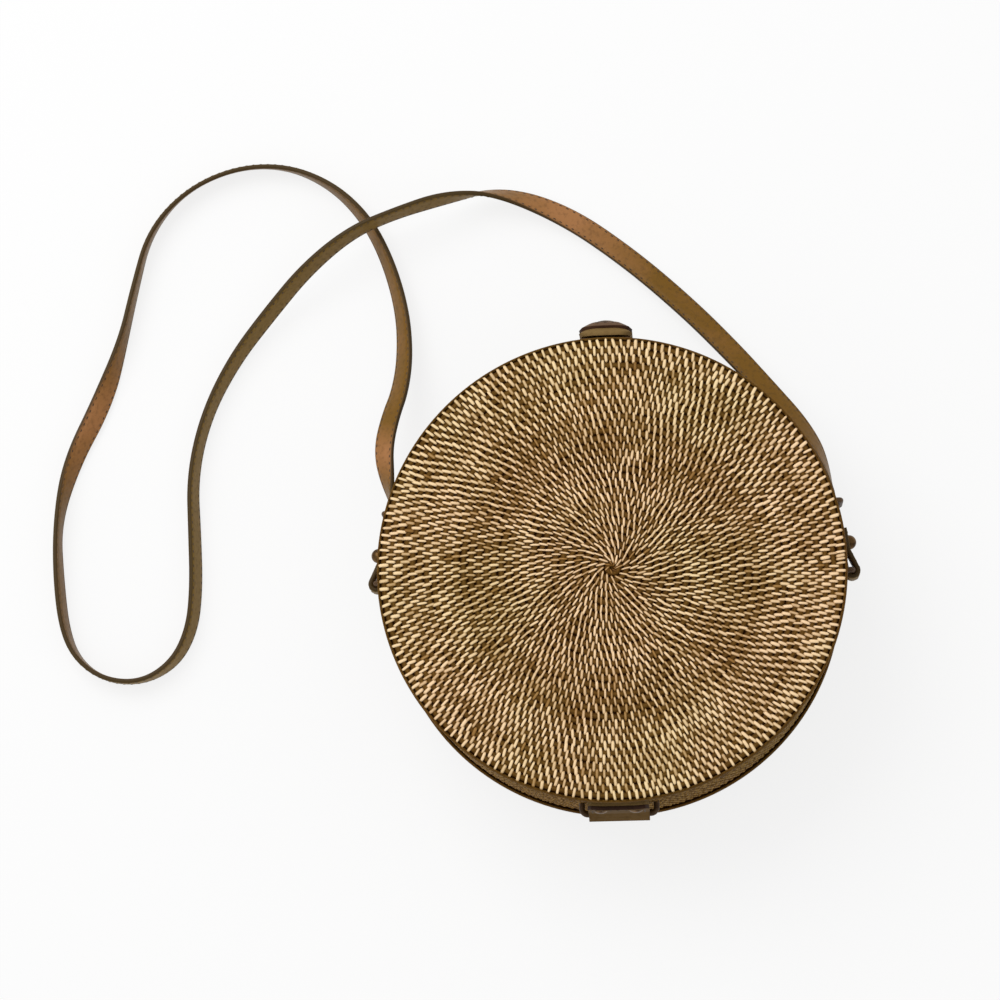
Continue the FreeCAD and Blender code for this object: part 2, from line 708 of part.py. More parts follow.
leads = strap_lead("right"), strap_lead("left")
route = leads[0] + [Vector(*point) for point in STRAP_ROUTE] + leads[1][::-1]
strap_path, strap_radii = rounded_route(route)
across = (route[1] - route[0]).cross(Vector(0, 0, 1)).normalize() * (size("strap_thickness") / 2)
upward = Vector(0, 0, size("strap_width") / 2)
corners = [route[0] + across + upward, route[0] - across + upward,
           route[0] - across - upward, route[0] + across - upward]
sweep = Part.BRepOffsetAPI.MakePipeShell(strap_path)
sweep.setBiNormalMode(Vector(0, 0, 1))
sweep.add(Part.makePolygon(corners + corners[:1]))
sweep.build()
sweep.makeSolid()
shoulder_strap = doc.addObject("Part::Feature", "shoulder_strap")
shoulder_strap.Shape = sweep.shape()
shoulder_strap.Placement = Placement()

doc.recompute()
section_area = size("strap_width") * size("strap_thickness")
print("strap radii", [round(radius, 1) for radius in strap_radii])
print("strap length", round(strap_path.Length, 1), "volume", round(shoulder_strap.Shape.Volume, 1),
      "section times length", round(section_area * strap_path.Length, 1))

NODES = [back_disc, back_wall, back_rim, back_lining, front_disc, front_wall, front_rim, front_lining,
         hinge_bar, hinge_strap, hinge_rivets, tab_bar, closure_tab, snap_cap, snap_socket, stud_patch,
         stud_post, snap_stud, patch_rivets, *strap_staples, *strap_ends, *strap_studs, shoulder_strap]

for item in doc.Objects:
    if "Invalid" in item.State or "Error" in item.State:
        raise ValueError(f"{item.Name} failed: {item.State}")
for node in NODES:
    if node.Shape.isNull() or not node.Shape.isValid():
        raise ValueError(f"{node.Label} has no valid shape")

os.makedirs("parts", exist_ok=True)
for node in NODES:
    node.Shape.exportStep(f"parts/{node.Label}.step")
    print(node.Label, len(node.Shape.Solids), round(node.Shape.Volume, 1))
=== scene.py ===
"""Looks of a round, coiled cane shoulder bag around its CAD frame: weave, leather, lining, metal. Metres."""
import json
import math
import random

import bmesh
import bpy
from mathutils import Matrix, Vector, noise


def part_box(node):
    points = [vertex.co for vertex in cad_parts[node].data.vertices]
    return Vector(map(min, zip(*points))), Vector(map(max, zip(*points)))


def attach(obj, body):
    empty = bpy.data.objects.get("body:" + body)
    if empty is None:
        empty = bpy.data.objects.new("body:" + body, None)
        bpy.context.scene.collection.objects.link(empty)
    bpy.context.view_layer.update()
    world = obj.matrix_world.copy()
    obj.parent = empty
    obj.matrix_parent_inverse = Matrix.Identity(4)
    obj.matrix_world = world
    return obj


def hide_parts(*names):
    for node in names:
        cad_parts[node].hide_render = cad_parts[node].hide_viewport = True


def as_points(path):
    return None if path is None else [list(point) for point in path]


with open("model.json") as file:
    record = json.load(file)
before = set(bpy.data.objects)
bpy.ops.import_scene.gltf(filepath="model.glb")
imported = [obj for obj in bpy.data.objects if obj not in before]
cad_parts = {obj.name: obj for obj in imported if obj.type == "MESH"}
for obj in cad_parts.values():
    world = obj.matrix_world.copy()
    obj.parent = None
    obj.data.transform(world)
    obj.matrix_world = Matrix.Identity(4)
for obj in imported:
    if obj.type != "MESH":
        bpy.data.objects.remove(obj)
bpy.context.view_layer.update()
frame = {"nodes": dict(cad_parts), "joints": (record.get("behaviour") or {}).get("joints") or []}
MM = 0.001
UP = Vector((0, 0, 1))


# Finishes

def dye(red, green, blue):
    """An 8-bit screen colour as the linear colour that a socket takes."""
    shares = [value / 255 for value in (red, green, blue)]
    linear = [((share + 0.055) / 1.055) ** 2.4 if share > 0.04045 else share / 12.92 for share in shares]
    return (*linear, 1.0)


class Value:
    """A number in a finish: Python arithmetic on it adds Math nodes."""

    def __init__(self, finish, socket):
        self.finish = finish
        self.socket = socket

    def math(self, operation, first, second):
        return self.finish.node("ShaderNodeMath", {"operation": operation}, {0: first, 1: second})

    def __add__(self, other):
        return self.math("ADD", self, other)

    __radd__ = __add__

    def __sub__(self, other):
        return self.math("SUBTRACT", self, other)

    def __rsub__(self, other):
        return self.math("SUBTRACT", other, self)

    def __mul__(self, other):
        return self.math("MULTIPLY", self, other)

    __rmul__ = __mul__

    def __abs__(self):
        return self.math("ABSOLUTE", self, 0.0)

    def sine(self):
        return self.math("SINE", self, 0.0)


class Finish:
    """A procedural material, built node by node on one Principled surface."""

    def __init__(self, name, **constants):
        self.material = bpy.data.materials.new(name)
        self.material.use_nodes = True
        self.tree = self.material.node_tree
        self.surface = self.tree.nodes["Principled BSDF"]
        for socket, value in constants.items():
            self.surface.inputs[socket.replace("_", " ")].default_value = value

    def node(self, kind, settings=None, sockets=None, output=0):
        """Adds a node, sets it up, fills or links its sockets, and gives one of its outputs."""
        made = self.tree.nodes.new(kind)
        for name, value in (settings or {}).items():
            if name == "stops":
                self.set_stops(made.color_ramp, value)
            else:
                setattr(made, name, value)
        self.fill(made, sockets or {})
        return Value(self, made.outputs[output])

    def set_stops(self, ramp, stops):
        while len(ramp.elements) < len(stops):
            ramp.elements.new(1.0)
        for element, (position, colour) in zip(ramp.elements, stops):
            element.position = position
            element.color = colour

    def fill(self, made, sockets):
        for socket, value in sockets.items():
            if isinstance(value, Value):
                self.tree.links.new(value.socket, made.inputs[socket])
            else:
                made.inputs[socket].default_value = value

    def place(self):
        """Where a point lies in the bag's frame."""
        return self.node("ShaderNodeTexCoord", output="Object")

    def lay(self):
        """Where a point lies on its stitch, strap or cloth: across it and along it."""
        return self.node("ShaderNodeUVMap", {"uv_map": "lay"})

    def attribute(self, name):
        return self.node("ShaderNodeAttribute", {"attribute_name": name}, output="Fac")

    def parts(self, vector):
        """The X and Y of a vector."""
        return [self.node("ShaderNodeSeparateXYZ", None, {0: vector}, output=part) for part in "XY"]

    def joined(self, across, along, third):
        return self.node("ShaderNodeCombineXYZ", None, {"X": across, "Y": along, "Z": third})

    def grain(self, vector, scale, detail=3.0):
        """Noise from 0 to 1."""
        return self.node("ShaderNodeTexNoise", None, {
            "Vector": vector, "Scale": scale, "Detail": detail, "Roughness": 0.55})

    def streaks(self, scale, detail=3.0):
        """Noise drawn out along some of the bag's axes."""
        drawn = self.node("ShaderNodeMapping", None, {"Vector": self.place(), "Scale": scale})
        return self.grain(drawn, 1.0, detail)

    def ramp(self, factor, *stops):
        return self.node("ShaderNodeValToRGB", {"stops": stops}, {"Fac": factor})

    def spread(self, value, low, high, to_low=0.0, to_high=1.0):
        """A value's range stretched to another, and held within it."""
        return self.node("ShaderNodeMapRange", None, {
            "Value": value, "From Min": low, "From Max": high, "To Min": to_low, "To Max": to_high})

    def mix(self, factor, first, second, blend="MIX"):
        """Two colours mixed."""
        settings = {"data_type": "RGBA", "blend_type": blend}
        return self.node("ShaderNodeMix", settings, {0: factor, 6: first, 7: second}, output=2)

    def smoked(self, colour):
        """A cane colour as it comes from the smoke: redder in some wide patches, more olive in others."""
        clouds = self.spread(self.grain(self.place(), 17.0, detail=2.0), 0.38, 0.62)
        tint = self.mix(clouds, (1.025, 0.98, 0.99, 1), (0.985, 1.01, 0.95, 1))
        return self.mix(1.0, colour, tint, "MULTIPLY")

    def relief(self, height, depth, strength):
        """Bumps of a real depth on the surface."""
        bump = self.node("ShaderNodeBump", None, {"Height": height, "Distance": depth, "Strength": strength})
        self.fill(self.surface, {"Normal": bump})

    def paint(self, **sockets):
        self.fill(self.surface, {name.replace("_", " "): value for name, value in sockets.items()})
        return self.material


def cane_stitch_finish(name, gloss, darkest, middle, palest):
    """Split cane bands: straw to smoked brown from band to band, with fibres along each, and painted shade
    at their ends, where they dip into the coil, and down their rounded flanks.
    """
    finish = Finish(name, Specular_IOR_Level=gloss)
    across, along = finish.parts(finish.lay())
    tone = finish.attribute("tone")
    fibres = finish.grain(finish.joined(across * 7, along * 0.9, tone * 90), 1.0, detail=4.0)
    blotches = finish.grain(finish.place(), 210.0, detail=2.0)
    from_middle = abs(along - 0.5) * 2
    from_centre = abs(across - 0.5) * 2
    # Painted shade: darker towards both ends of a band, where it dives under the coil, and towards its
    # flanks, where its rounded section turns from the light.
    end_shade = finish.spread(from_middle, 0.6, 1.0, 0.0, 0.45)
    edge_shade = finish.spread(from_centre, 0.35, 1.0, 0.0, 0.35)
    shade = tone + (fibres - 0.5) * 0.3 + (blotches - 0.5) * 0.26 - end_shade - edge_shade
    colour = finish.ramp(shade, (0.0, darkest), (0.45, middle), (0.92, palest))
    finish.relief(fibres, 0.08 * MM, 0.5)
    return finish.paint(Base_Color=finish.smoked(colour), Roughness=0.36 + fibres * 0.3)


def cane_core_finish(name, groove, crown):
    """The coiled cane under the stitches: olive brown on the crowns of its turns, with painted shade
    darkening it down into their grooves.
    """
    finish = Finish(name, Specular_IOR_Level=0.05)
    place = finish.place()
    patches = finish.grain(place, 60.0)
    fibres = finish.grain(place, 900.0, detail=2.0)
    # Painted shade: the lower a point lies below its coil's crown, the darker the ramp makes it.
    height = finish.spread(finish.attribute("crown"), 0.68, 1.0)
    shade = height * 0.8 + (patches - 0.5) * 0.5 + (fibres - 0.5) * 0.9
    colour = finish.ramp(shade, (0.1, groove), (0.95, crown))
    finish.relief(fibres, 0.12 * MM, 0.6)
    return finish.paint(Base_Color=finish.smoked(colour), Roughness=0.5 + fibres * 0.25)


def leather_finish(name, face, pale, worn, roughness):
    """Dull hide: fine pores, patches where its oils have paled, and small creases."""
    finish = Finish(name, Specular_IOR_Level=0.1)
    place = finish.place()
    patches = finish.grain(place, 45.0)
    mottle = finish.grain(place, 420.0, detail=4.0)
    pores = finish.node("ShaderNodeTexVoronoi", None, {"Vector": place, "Scale": 2300.0})
    colour = finish.mix(finish.spread(patches, 0.35, 0.7), face, pale)
    colour = finish.mix(finish.spread(mottle, 0.52, 0.78, 0.0, 0.6), colour, worn)
    finish.relief(pores * 0.6 + mottle, 0.12 * MM, 0.55)
    return finish.paint(Base_Color=colour, Roughness=roughness + (mottle - 0.5) * 0.3)


def strap_finish(name, grain_side, painted_highlight, flesh_side, edge_paint):
    """The strap's hide: a golden grain side with painted light where it lies face-on to the lamp, an olive
    flesh side, dark edges.
    """
    finish = Finish(name, Specular_IOR_Level=0.15)
    across, along = finish.parts(finish.lay())
    side = finish.attribute("grain_side")
    place = finish.place()
    patches = finish.grain(finish.joined(across * 0.6, along * 0.35, 2.0), 1.6)
    mottle = finish.grain(place, 520.0, detail=4.0)
    pores = finish.node("ShaderNodeTexVoronoi", None, {"Vector": place, "Scale": 2600.0})
    # Painted light: the grain side turns paler where the strap lies face-on to the lamp, with random paler
    # patches of the hide added.
    light_and_patches = finish.attribute("bent") + (patches - 0.5) * 0.7
    grain = finish.mix(finish.spread(light_and_patches, 0.0, 0.9), grain_side, painted_highlight)
    hide = finish.mix(finish.spread(side, 0.3, 0.7), flesh_side, grain)
    hide = finish.mix(finish.spread(mottle, 0.5, 0.8, 0.0, 0.45), hide, edge_paint)
    from_centre = abs(across - 0.5) * 2
    colour = finish.mix(finish.spread(from_centre, 0.84, 0.98, 0.0, 0.9), hide, edge_paint)
    finish.relief(pores * 0.5 + mottle, 0.1 * MM, 0.5)
    return finish.paint(Base_Color=colour, Roughness=0.4 + (mottle - 0.5) * 0.25 + (1 - side) * 0.12)


def thread_finish(name, dark, light):
    """Waxed sewing thread with its twist."""
    finish = Finish(name)
    across, along = finish.parts(finish.lay())
    twist = finish.node("ShaderNodeTexWave", {"wave_profile": "SIN"}, {
        "Vector": finish.joined(across * 0.5 + along * 1.6, 0.0, 0.0), "Scale": 1.4})
    finish.relief(twist, 0.06 * MM, 0.8)
    return finish.paint(Base_Color=finish.mix(twist, dark, light), Roughness=0.5 + twist * 0.15)


def round_cane_finish(name, dark, light):
    """A curved cane rod: long fibres, a satin skin and a few dark growth marks."""
    finish = Finish(name, Specular_IOR_Level=0.2)
    streaks = finish.streaks((260.0, 1500.0, 1500.0), detail=4.0)
    marks = finish.grain(finish.place(), 140.0)
    colour = finish.ramp(streaks * 0.6 + marks * 0.4, (0.32, dark), (0.68, light))
    finish.relief(streaks, 0.06 * MM, 0.5)
    return finish.paint(Base_Color=colour, Roughness=0.34 + streaks * 0.25)


def aged_brass_finish(name, bright, dull):
    """Brass gone brown in its hollows, rubbed bright in places, with fine scratches."""
    finish = Finish(name, Metallic=1.0)
    patina = finish.grain(finish.place(), 320.0, detail=5.0)
    scratches = finish.streaks((300.0, 300.0, 5200.0))
    colour = finish.mix(finish.spread(patina, 0.4, 0.66), bright, dull)
    finish.relief(scratches, 0.015 * MM, 0.4)
    return finish.paint(Base_Color=colour, Roughness=0.26 + patina * 0.3)


def cotton_finish(name, pale, shaded, threads_per_metre):
    """Plain-woven cotton: warp over weft, slubs and a little unevenness in the dye."""
    finish = Finish(name, Specular_IOR_Level=0.2, Sheen_Weight=0.25)
    across, along = finish.parts(finish.lay())
    turns = threads_per_metre * math.pi
    weave = (across * turns).sine() * (along * turns).sine() * 0.5 + 0.5
    slubs = finish.streaks((700.0, 90.0, 700.0))
    clouds = finish.grain(finish.place(), 35.0)
    shade = weave * 0.35 + slubs * 0.4 + clouds * 0.25
    finish.relief(weave + slubs * 0.5, 0.12 * MM, 0.7)
    return finish.paint(Base_Color=finish.mix(shade, shaded, pale), Roughness=0.85 + weave * 0.1)


FACE_CANE = cane_stitch_finish("face_cane", 0.16, dye(76, 40, 0), dye(158, 118, 60), dye(255, 224, 178))
# The wall and rim canes are darker copies of the face cane: painted shade on the walls, rims and bound face
# edges, which turn away from the lamp.
SHADED_WALL_CANE = cane_stitch_finish("shaded_wall_cane", 0.03, dye(68, 43, 4), dye(114, 83, 34), dye(158, 123, 66))
SHADED_RIM_CANE = cane_stitch_finish("shaded_rim_cane", 0.03, dye(68, 43, 6), dye(114, 83, 34), dye(160, 125, 68))
# The core's first colour is painted shade down in its grooves; the second is its own colour on the crowns.
CORE_CANE = cane_core_finish("core_cane", dye(46, 22, 0), dye(112, 80, 32))
BAR_CANE = round_cane_finish("bar_cane", dye(56, 38, 20), dye(98, 72, 44))
# The strap's second colour is painted light for its face-on, lit stretches.
STRAP_LEATHER = strap_finish(
    "strap_leather", dye(120, 85, 27), dye(168, 117, 72), dye(132, 104, 50), dye(62, 48, 26))
TAB_LEATHER = leather_finish("tab_leather", dye(88, 62, 40), dye(104, 78, 54), dye(62, 42, 28), 0.45)
TAB_FLESH = leather_finish("tab_flesh", dye(118, 94, 54), dye(134, 108, 66), dye(88, 66, 36), 0.7)
TAB_EDGE = leather_finish("tab_edge", dye(58, 37, 26), dye(72, 48, 34), dye(42, 27, 18), 0.5)
HINGE_LEATHER = leather_finish("hinge_leather", dye(92, 66, 24), dye(104, 77, 34), dye(70, 48, 16), 0.7)
THREAD = thread_finish("thread", dye(46, 30, 14), dye(78, 56, 30))
BRASS = aged_brass_finish("aged_brass", dye(116, 88, 54), dye(64, 46, 28))
COTTON = cotton_finish("cotton", dye(214, 202, 176), dye(180, 166, 138), threads_per_metre=1500.0)


# Pieces

def shown(name, data):
    made = bpy.data.objects.new(name, data)
    bpy.context.scene.collection.objects.link(made)
    return made


def piece(name, mesh, body, slot, *finishes, replaces=()):
    """Shows a finished mesh as a piece of the bag, on its body, in place of its plain solids."""
    mesh.name = name
    mesh.polygons.foreach_set("use_smooth", [True] * len(mesh.polygons))
    for finish in finishes:
        mesh.materials.append(finish)
    made = shown(name, mesh)
    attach(made, body)
    if replaces:
        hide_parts(*replaces)
    return made


def mesh_of(bm):
    mesh = bpy.data.meshes.new("made")
    bm.to_mesh(mesh)
    bm.free()
    return mesh


def axes(across, along, normal, middle):
    """The matrix that sets a shape made on X, Y and Z at a place, on three axes there."""
    turned = Matrix((across, along, normal)).transposed()
    return Matrix.Translation(middle) @ turned.to_4x4()


def set_lay(bm, place):
    """Writes where each corner of a face lies on its stitch, strap or cloth, for the finishes to read."""
    lay = bm.loops.layers.uv.new("lay")
    for face in bm.faces:
        for loop in face.loops:
            loop[lay].uv = place(loop)


def spin_round(bm, steps):
    """Spins a section or a line once round the bag's middle and closes what comes out."""
    bmesh.ops.spin(
        bm, geom=list(bm.verts) + list(bm.edges), cent=(0, 0, 0), axis=UP, angle=math.tau, steps=steps,
        use_merge=True)
    bmesh.ops.remove_doubles(bm, verts=bm.verts, dist=0.001 * MM)
    bmesh.ops.recalc_face_normals(bm, faces=bm.faces)


def inner_radius(node):
    return min(math.hypot(v.co.x, v.co.y) for v in frame["nodes"][node].data.vertices)


def distances(line):
    """How far along a line each of its points lies."""
    marks = [0.0]
    for first, second in zip(line, line[1:]):
        marks.append(marks[-1] + (second - first).length)
    return marks


def band_shape(width, length, thickness, dip):
    """A flat band with rounded ends on the XY plane, its top at zero and its ends curved down by the dip."""
    sides = 6
    fullness = 0.58
    bm = bmesh.new()
    bmesh.ops.create_uvsphere(bm, u_segments=sides, v_segments=sides, radius=1.0)
    bmesh.ops.rotate(bm, verts=bm.verts, matrix=Matrix.Rotation(math.pi / 2, 3, "X"))
    bm.verts.layers.float.new("tone")
    set_lay(bm, lambda loop: (0.5 + loop.vert.co.x / 2, 0.5 + loop.vert.co.y / 2))
    for vert in bm.verts:
        roundness = math.hypot(vert.co.x, vert.co.z)
        fuller = roundness ** -fullness if roundness > 0.01 else 0.0
        vert.co = (
            vert.co.x * fuller * width / 2,
            vert.co.y * length / 2,
            (vert.co.z * fuller - 1) * thickness / 2 - dip * vert.co.y ** 2)
    return mesh_of(bm)


def laid(shape, places):
    """One mesh of many copies of a shape, each with its own matrix and tone."""
    bm = bmesh.new()
    for matrix, tone in places:
        copy = shape.copy()
        copy.transform(matrix)
        copy.attributes["tone"].data.foreach_set("value", [tone] * len(copy.vertices))
        bm.from_mesh(copy)
        bpy.data.meshes.remove(copy)
    return mesh_of(bm)


def ring_tube(radius, height, half_width, half_height, steps, sides=8):
    """A bmesh ring round the bag's middle with an oval section."""
    bm = bmesh.new()
    section = bmesh.ops.create_circle(bm, segments=sides, radius=1.0)["verts"]
    bmesh.ops.scale(bm, verts=section, vec=(half_width, half_height, 1))
    bmesh.ops.rotate(bm, verts=section, matrix=Matrix.Rotation(math.pi / 2, 3, "X"))
    bmesh.ops.translate(bm, verts=section, vec=(radius, 0, height))
    spin_round(bm, steps)
    return bm


def mark_crowns(mesh, height):
    """Stores how near each point lies to the crown of its coil: 1 on the crown, less down in the groove,
    where the core finish paints shade.
    """
    marks = mesh.attributes.new("crown", "FLOAT", "POINT")
    marks.data.foreach_set("value", [height(vert.co) for vert in mesh.vertices])


def upright_band(angle, radius, height, lean):
    """Matrix of a band that stands on a round wall and leans a little from upright."""
    outward = Vector((math.cos(angle), math.sin(angle), 0))
    around = Vector((-outward.y, outward.x, 0))
    along = UP * math.cos(lean) + around * math.sin(lean)
    return axes(along.cross(outward), along, outward, outward * radius + UP * height)


# Coiled weave of the two round faces

# A value without MM or radians is a share or a count
FACE_RADIUS = 100 * MM
COIL_PITCH = 3.2 * MM
COIL_OVERLAP = 0.1 * MM
SETTLING_ROWS = 10
EDGE_COIL = 0.7 * MM
EDGE_CROWN = 0.96
STITCH_WIDTH = 1.6 * MM
STITCH_LENGTH = 4.7 * MM
STITCH_THICK = 0.55 * MM
STITCH_DIP = 0.42 * MM
STITCH_PROUD = 0.35 * MM
STITCH_STAGGER = 0.35
STITCH_WOBBLE = 0.07 * MM
STITCH_WIDTHS = (0.75, 1.15)
STITCH_LENGTHS = (0.93, 1.06)
CENTRE_SPACING = 2.05 * MM
SPACING_GAIN = 1.3 * MM
CENTRE_STITCHES = 7
FIRST_STITCHES = 13
CENTRE_WIDTH_SHARE = 0.58
WIDENING = 225 * MM
LEAN = math.radians(5)
CENTRE_LEAN = math.radians(22)
CENTRE_REACH = 22 * MM
FACE_LEAN_SPREAD = math.radians(5)
WALL_LEAN_SPREAD = math.radians(3)
CANE_TONE = 0.8
TONE_SPREAD = 0.09
ROW_TONE_KEPT = 0.6
ROW_TONE_SPREAD = 0.05
DARK_CANE_SHARE = 0.02
DARK_CANE_DROP = 0.3
BINDINGS = 230
BINDING_WIDTH = 2.3 * MM
BINDING_THICK = 0.5 * MM
BINDING_DIP = 0.8 * MM
BINDING_REACH_SHARE = 0.96
BINDING_TONE = 0.4
BINDING_TONE_SPREAD = 0.12


def stitch_spacing(radius):
    """Stitches stand wider apart towards the rim."""
    return CENTRE_SPACING + SPACING_GAIN * (radius / FACE_RADIUS) ** 0.7


def stitch_lean(radius):
    """Stitches lean further near the middle."""
    return LEAN + CENTRE_LEAN * math.exp(-radius / CENTRE_REACH)


def coil_radius(row, turn, rows, pitch):
    """How far out the coil runs: a spiral, which settles into closed rings over its last rows."""
    spiral = min(1.0, (rows - row) / SETTLING_ROWS)
    return pitch * (row + turn * spiral)


def even_out(angles):
    """Moves the newest few stitches until their gaps are alike."""
    newest = 11
    for index in range(len(angles) - 2, len(angles) - newest, -1):
        before = angles[index] - angles[index - 1]
        after = angles[index + 1] - angles[index]
        angles[index] += (after - before) / 5


def stitch_angles(rows, pitch, chance):
    """Angles of the stitches along the coil, counted on from turn to turn, each past one a turn before."""
    angles = [math.tau * (1 + index / FIRST_STITCHES) for index in range(FIRST_STITCHES)]
    owed = 0.0
    below = 0
    while angles[-1] < math.tau * (rows + 1):
        radius = pitch * min(angles[-1] / math.tau, rows)
        spacing = stitch_spacing(radius) / radius
        drift = pitch * math.tan(stitch_lean(radius)) / radius
        stagger = (angles[below + 1] - angles[below]) * STITCH_STAGGER
        gap = angles[below] + math.tau + stagger + drift - angles[-1]
        owed += gap / spacing - 1
        if owed > chance.uniform(0.6, 1.4):
            angles.append(angles[-1] + gap / 2)
            owed -= 1
            gap /= 2
        angles.append(angles[-1] + gap)
        even_out(angles)
        below += 1
    return angles


def next_tone(chance, row_tone):
    """A row's tone, which drifts on from that of the row before."""
    return ROW_TONE_KEPT * row_tone + chance.gauss(0, ROW_TONE_SPREAD)


def band_tone(chance, row_tone, spot):
    """How pale one stitch is: by its row, its patch of the weave, and its own cane."""
    patch = noise.noise(spot * 38) * 0.03 + noise.noise(spot * 110) * 0.05
    tone = CANE_TONE + row_tone + patch + chance.gauss(0, TONE_SPREAD)
    if chance.random() < DARK_CANE_SHARE:
        tone -= DARK_CANE_DROP
    return min(max(tone, 0.08), 1.0)


def face_stitches(rows, pitch, height, side, chance):
    """Matrices and tones of a round face's stitches. Side is 1 for a face that looks up and -1 for down."""
    up = UP * side

    def stitch(angle, radius, lean, width, length, row_tone):
        outward = Vector((math.cos(angle), math.sin(angle) * side, 0))
        around = Vector((-math.sin(angle), math.cos(angle) * side, 0))
        along = outward * math.cos(lean) + around * math.sin(lean)
        spot = outward * radius + UP * height
        size = Matrix.Diagonal((width, length, 1, 1))
        return axes(along.cross(up), along, up, spot) @ size, band_tone(chance, row_tone, spot)

    places = []
    for index in range(CENTRE_STITCHES):
        angle = math.tau * (index + chance.uniform(-0.2, 0.2)) / CENTRE_STITCHES
        places.append(stitch(angle, pitch * 0.6, stitch_lean(0), width=0.5, length=0.55, row_tone=-0.35))
    row = 0
    row_tone = 0.0
    for angle in stitch_angles(rows, pitch, chance):
        if angle >= math.tau * (row + 1):
            row += 1
            row_tone = next_tone(chance, row_tone)
        on_coil = coil_radius(min(row, rows), angle / math.tau - row, rows, pitch)
        radius = on_coil + chance.gauss(0, STITCH_WOBBLE)
        lean = stitch_lean(radius) + chance.gauss(0, FACE_LEAN_SPREAD)
        growth = min(1.0, CENTRE_WIDTH_SHARE + radius / WIDENING)
        width = growth * chance.uniform(*STITCH_WIDTHS)
        places.append(stitch(angle, radius, lean, width, chance.uniform(*STITCH_LENGTHS), row_tone))
    return places


def coil_rod(rows, pitch, height, thickness):
    """The coil itself, turn by turn: a rod wound flat from the middle out."""
    steps = 72
    curve = bpy.data.curves.new("coil", "CURVE")
    curve.dimensions = "3D"
    curve.bevel_depth = thickness / 2
    curve.bevel_resolution = 4
    curve.use_fill_caps = True
    for row in range(rows + 1):
        spline = curve.splines.new("POLY")
        spline.points.add(steps)
        for step, point in enumerate(spline.points):
            angle = math.tau * step / steps
            radius = coil_radius(row, step / steps, rows, pitch)
            point.co = (radius * math.cos(angle), radius * math.sin(angle), height, 1)
    holder = bpy.data.objects.new("coil", curve)
    mesh = bpy.data.meshes.new_from_object(holder)
    bpy.data.objects.remove(holder)
    return mesh


def edge_binding(name, body, radius, low, high, chance):
    """Short cane bands, bound side by side over a face's edge."""
    places = []
    for index in range(BINDINGS):
        angle = math.tau * (index + chance.uniform(-0.12, 0.12)) / BINDINGS
        place = upright_band(angle, radius, (low + high) / 2, LEAN + chance.gauss(0, WALL_LEAN_SPREAD))
        places.append((place, BINDING_TONE + chance.gauss(0, BINDING_TONE_SPREAD)))
    shape = band_shape(BINDING_WIDTH, (high - low) * BINDING_REACH_SHARE, BINDING_THICK, BINDING_DIP)
    piece(name, laid(shape, places), body, "cane", SHADED_RIM_CANE)


def round_face(node, body, side, seed):
    """A flat, coiled and stitched round face: its coil, its stitches and its bound edge."""
    chance = random.Random(seed)
    low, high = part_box(node)
    outside = high.z if side > 0 else low.z
    edge_middle = high.x - EDGE_COIL
    last_row = edge_middle - EDGE_COIL - COIL_PITCH / 2
    rows = round(last_row / COIL_PITCH)
    pitch = last_row / rows
    coil = high.z - low.z - STITCH_PROUD + COIL_OVERLAP
    coil_middle = outside - side * (STITCH_PROUD + coil / 2)
    core = coil_rod(rows, pitch, coil_middle, coil)
    if side < 0:
        core.transform(Matrix.Diagonal((1, -1, 1, 1)))
        core.flip_normals()
    mark_crowns(core, lambda point: side * (point.z - coil_middle) / (coil / 2))
    piece(node + "_coil", core, body, "cane", CORE_CANE, replaces=[node])
    shape = band_shape(STITCH_WIDTH, STITCH_LENGTH, STITCH_THICK, STITCH_DIP)
    stitches = laid(shape, face_stitches(rows, pitch, outside, side, chance))
    piece(node + "_stitches", stitches, body, "cane", FACE_CANE)
    edge = mesh_of(ring_tube(edge_middle, coil_middle, EDGE_COIL, coil / 2, steps=180))
    # The edge ring takes one crown value all round, so it gets almost none of the painted groove shade.
    mark_crowns(edge, lambda point: EDGE_CROWN)
    piece(node + "_edge", edge, body, "cane", CORE_CANE)
    edge_binding(node + "_binding", body, high.x, low.z, high.z, chance)


round_face("front_disc", "lid", side=1, seed=11)
round_face("back_disc", "back_half", side=-1, seed=23)


# Coiled side walls and their wound rims

WALL_STITCHES = 186
WALL_STAGGER = 0.7
WALL_STITCH_SHARE = 1.25
WALL_STITCH_WIDTHS = (0.85, 1.15)
WALL_STITCH_LENGTHS = (0.9, 1.02)
WALL_SPACING_SPREAD = 0.07
# Wall stitches drop a little in tone: painted shade.
WALL_SHADE_DROP = 0.06
RIM_WRAPS = 300
WRAP_GROOVE = 0.3 * MM
WRAP_SLANT = 1.5
WRAP_TONE = 0.5
WRAP_TONE_SPREAD = 0.16


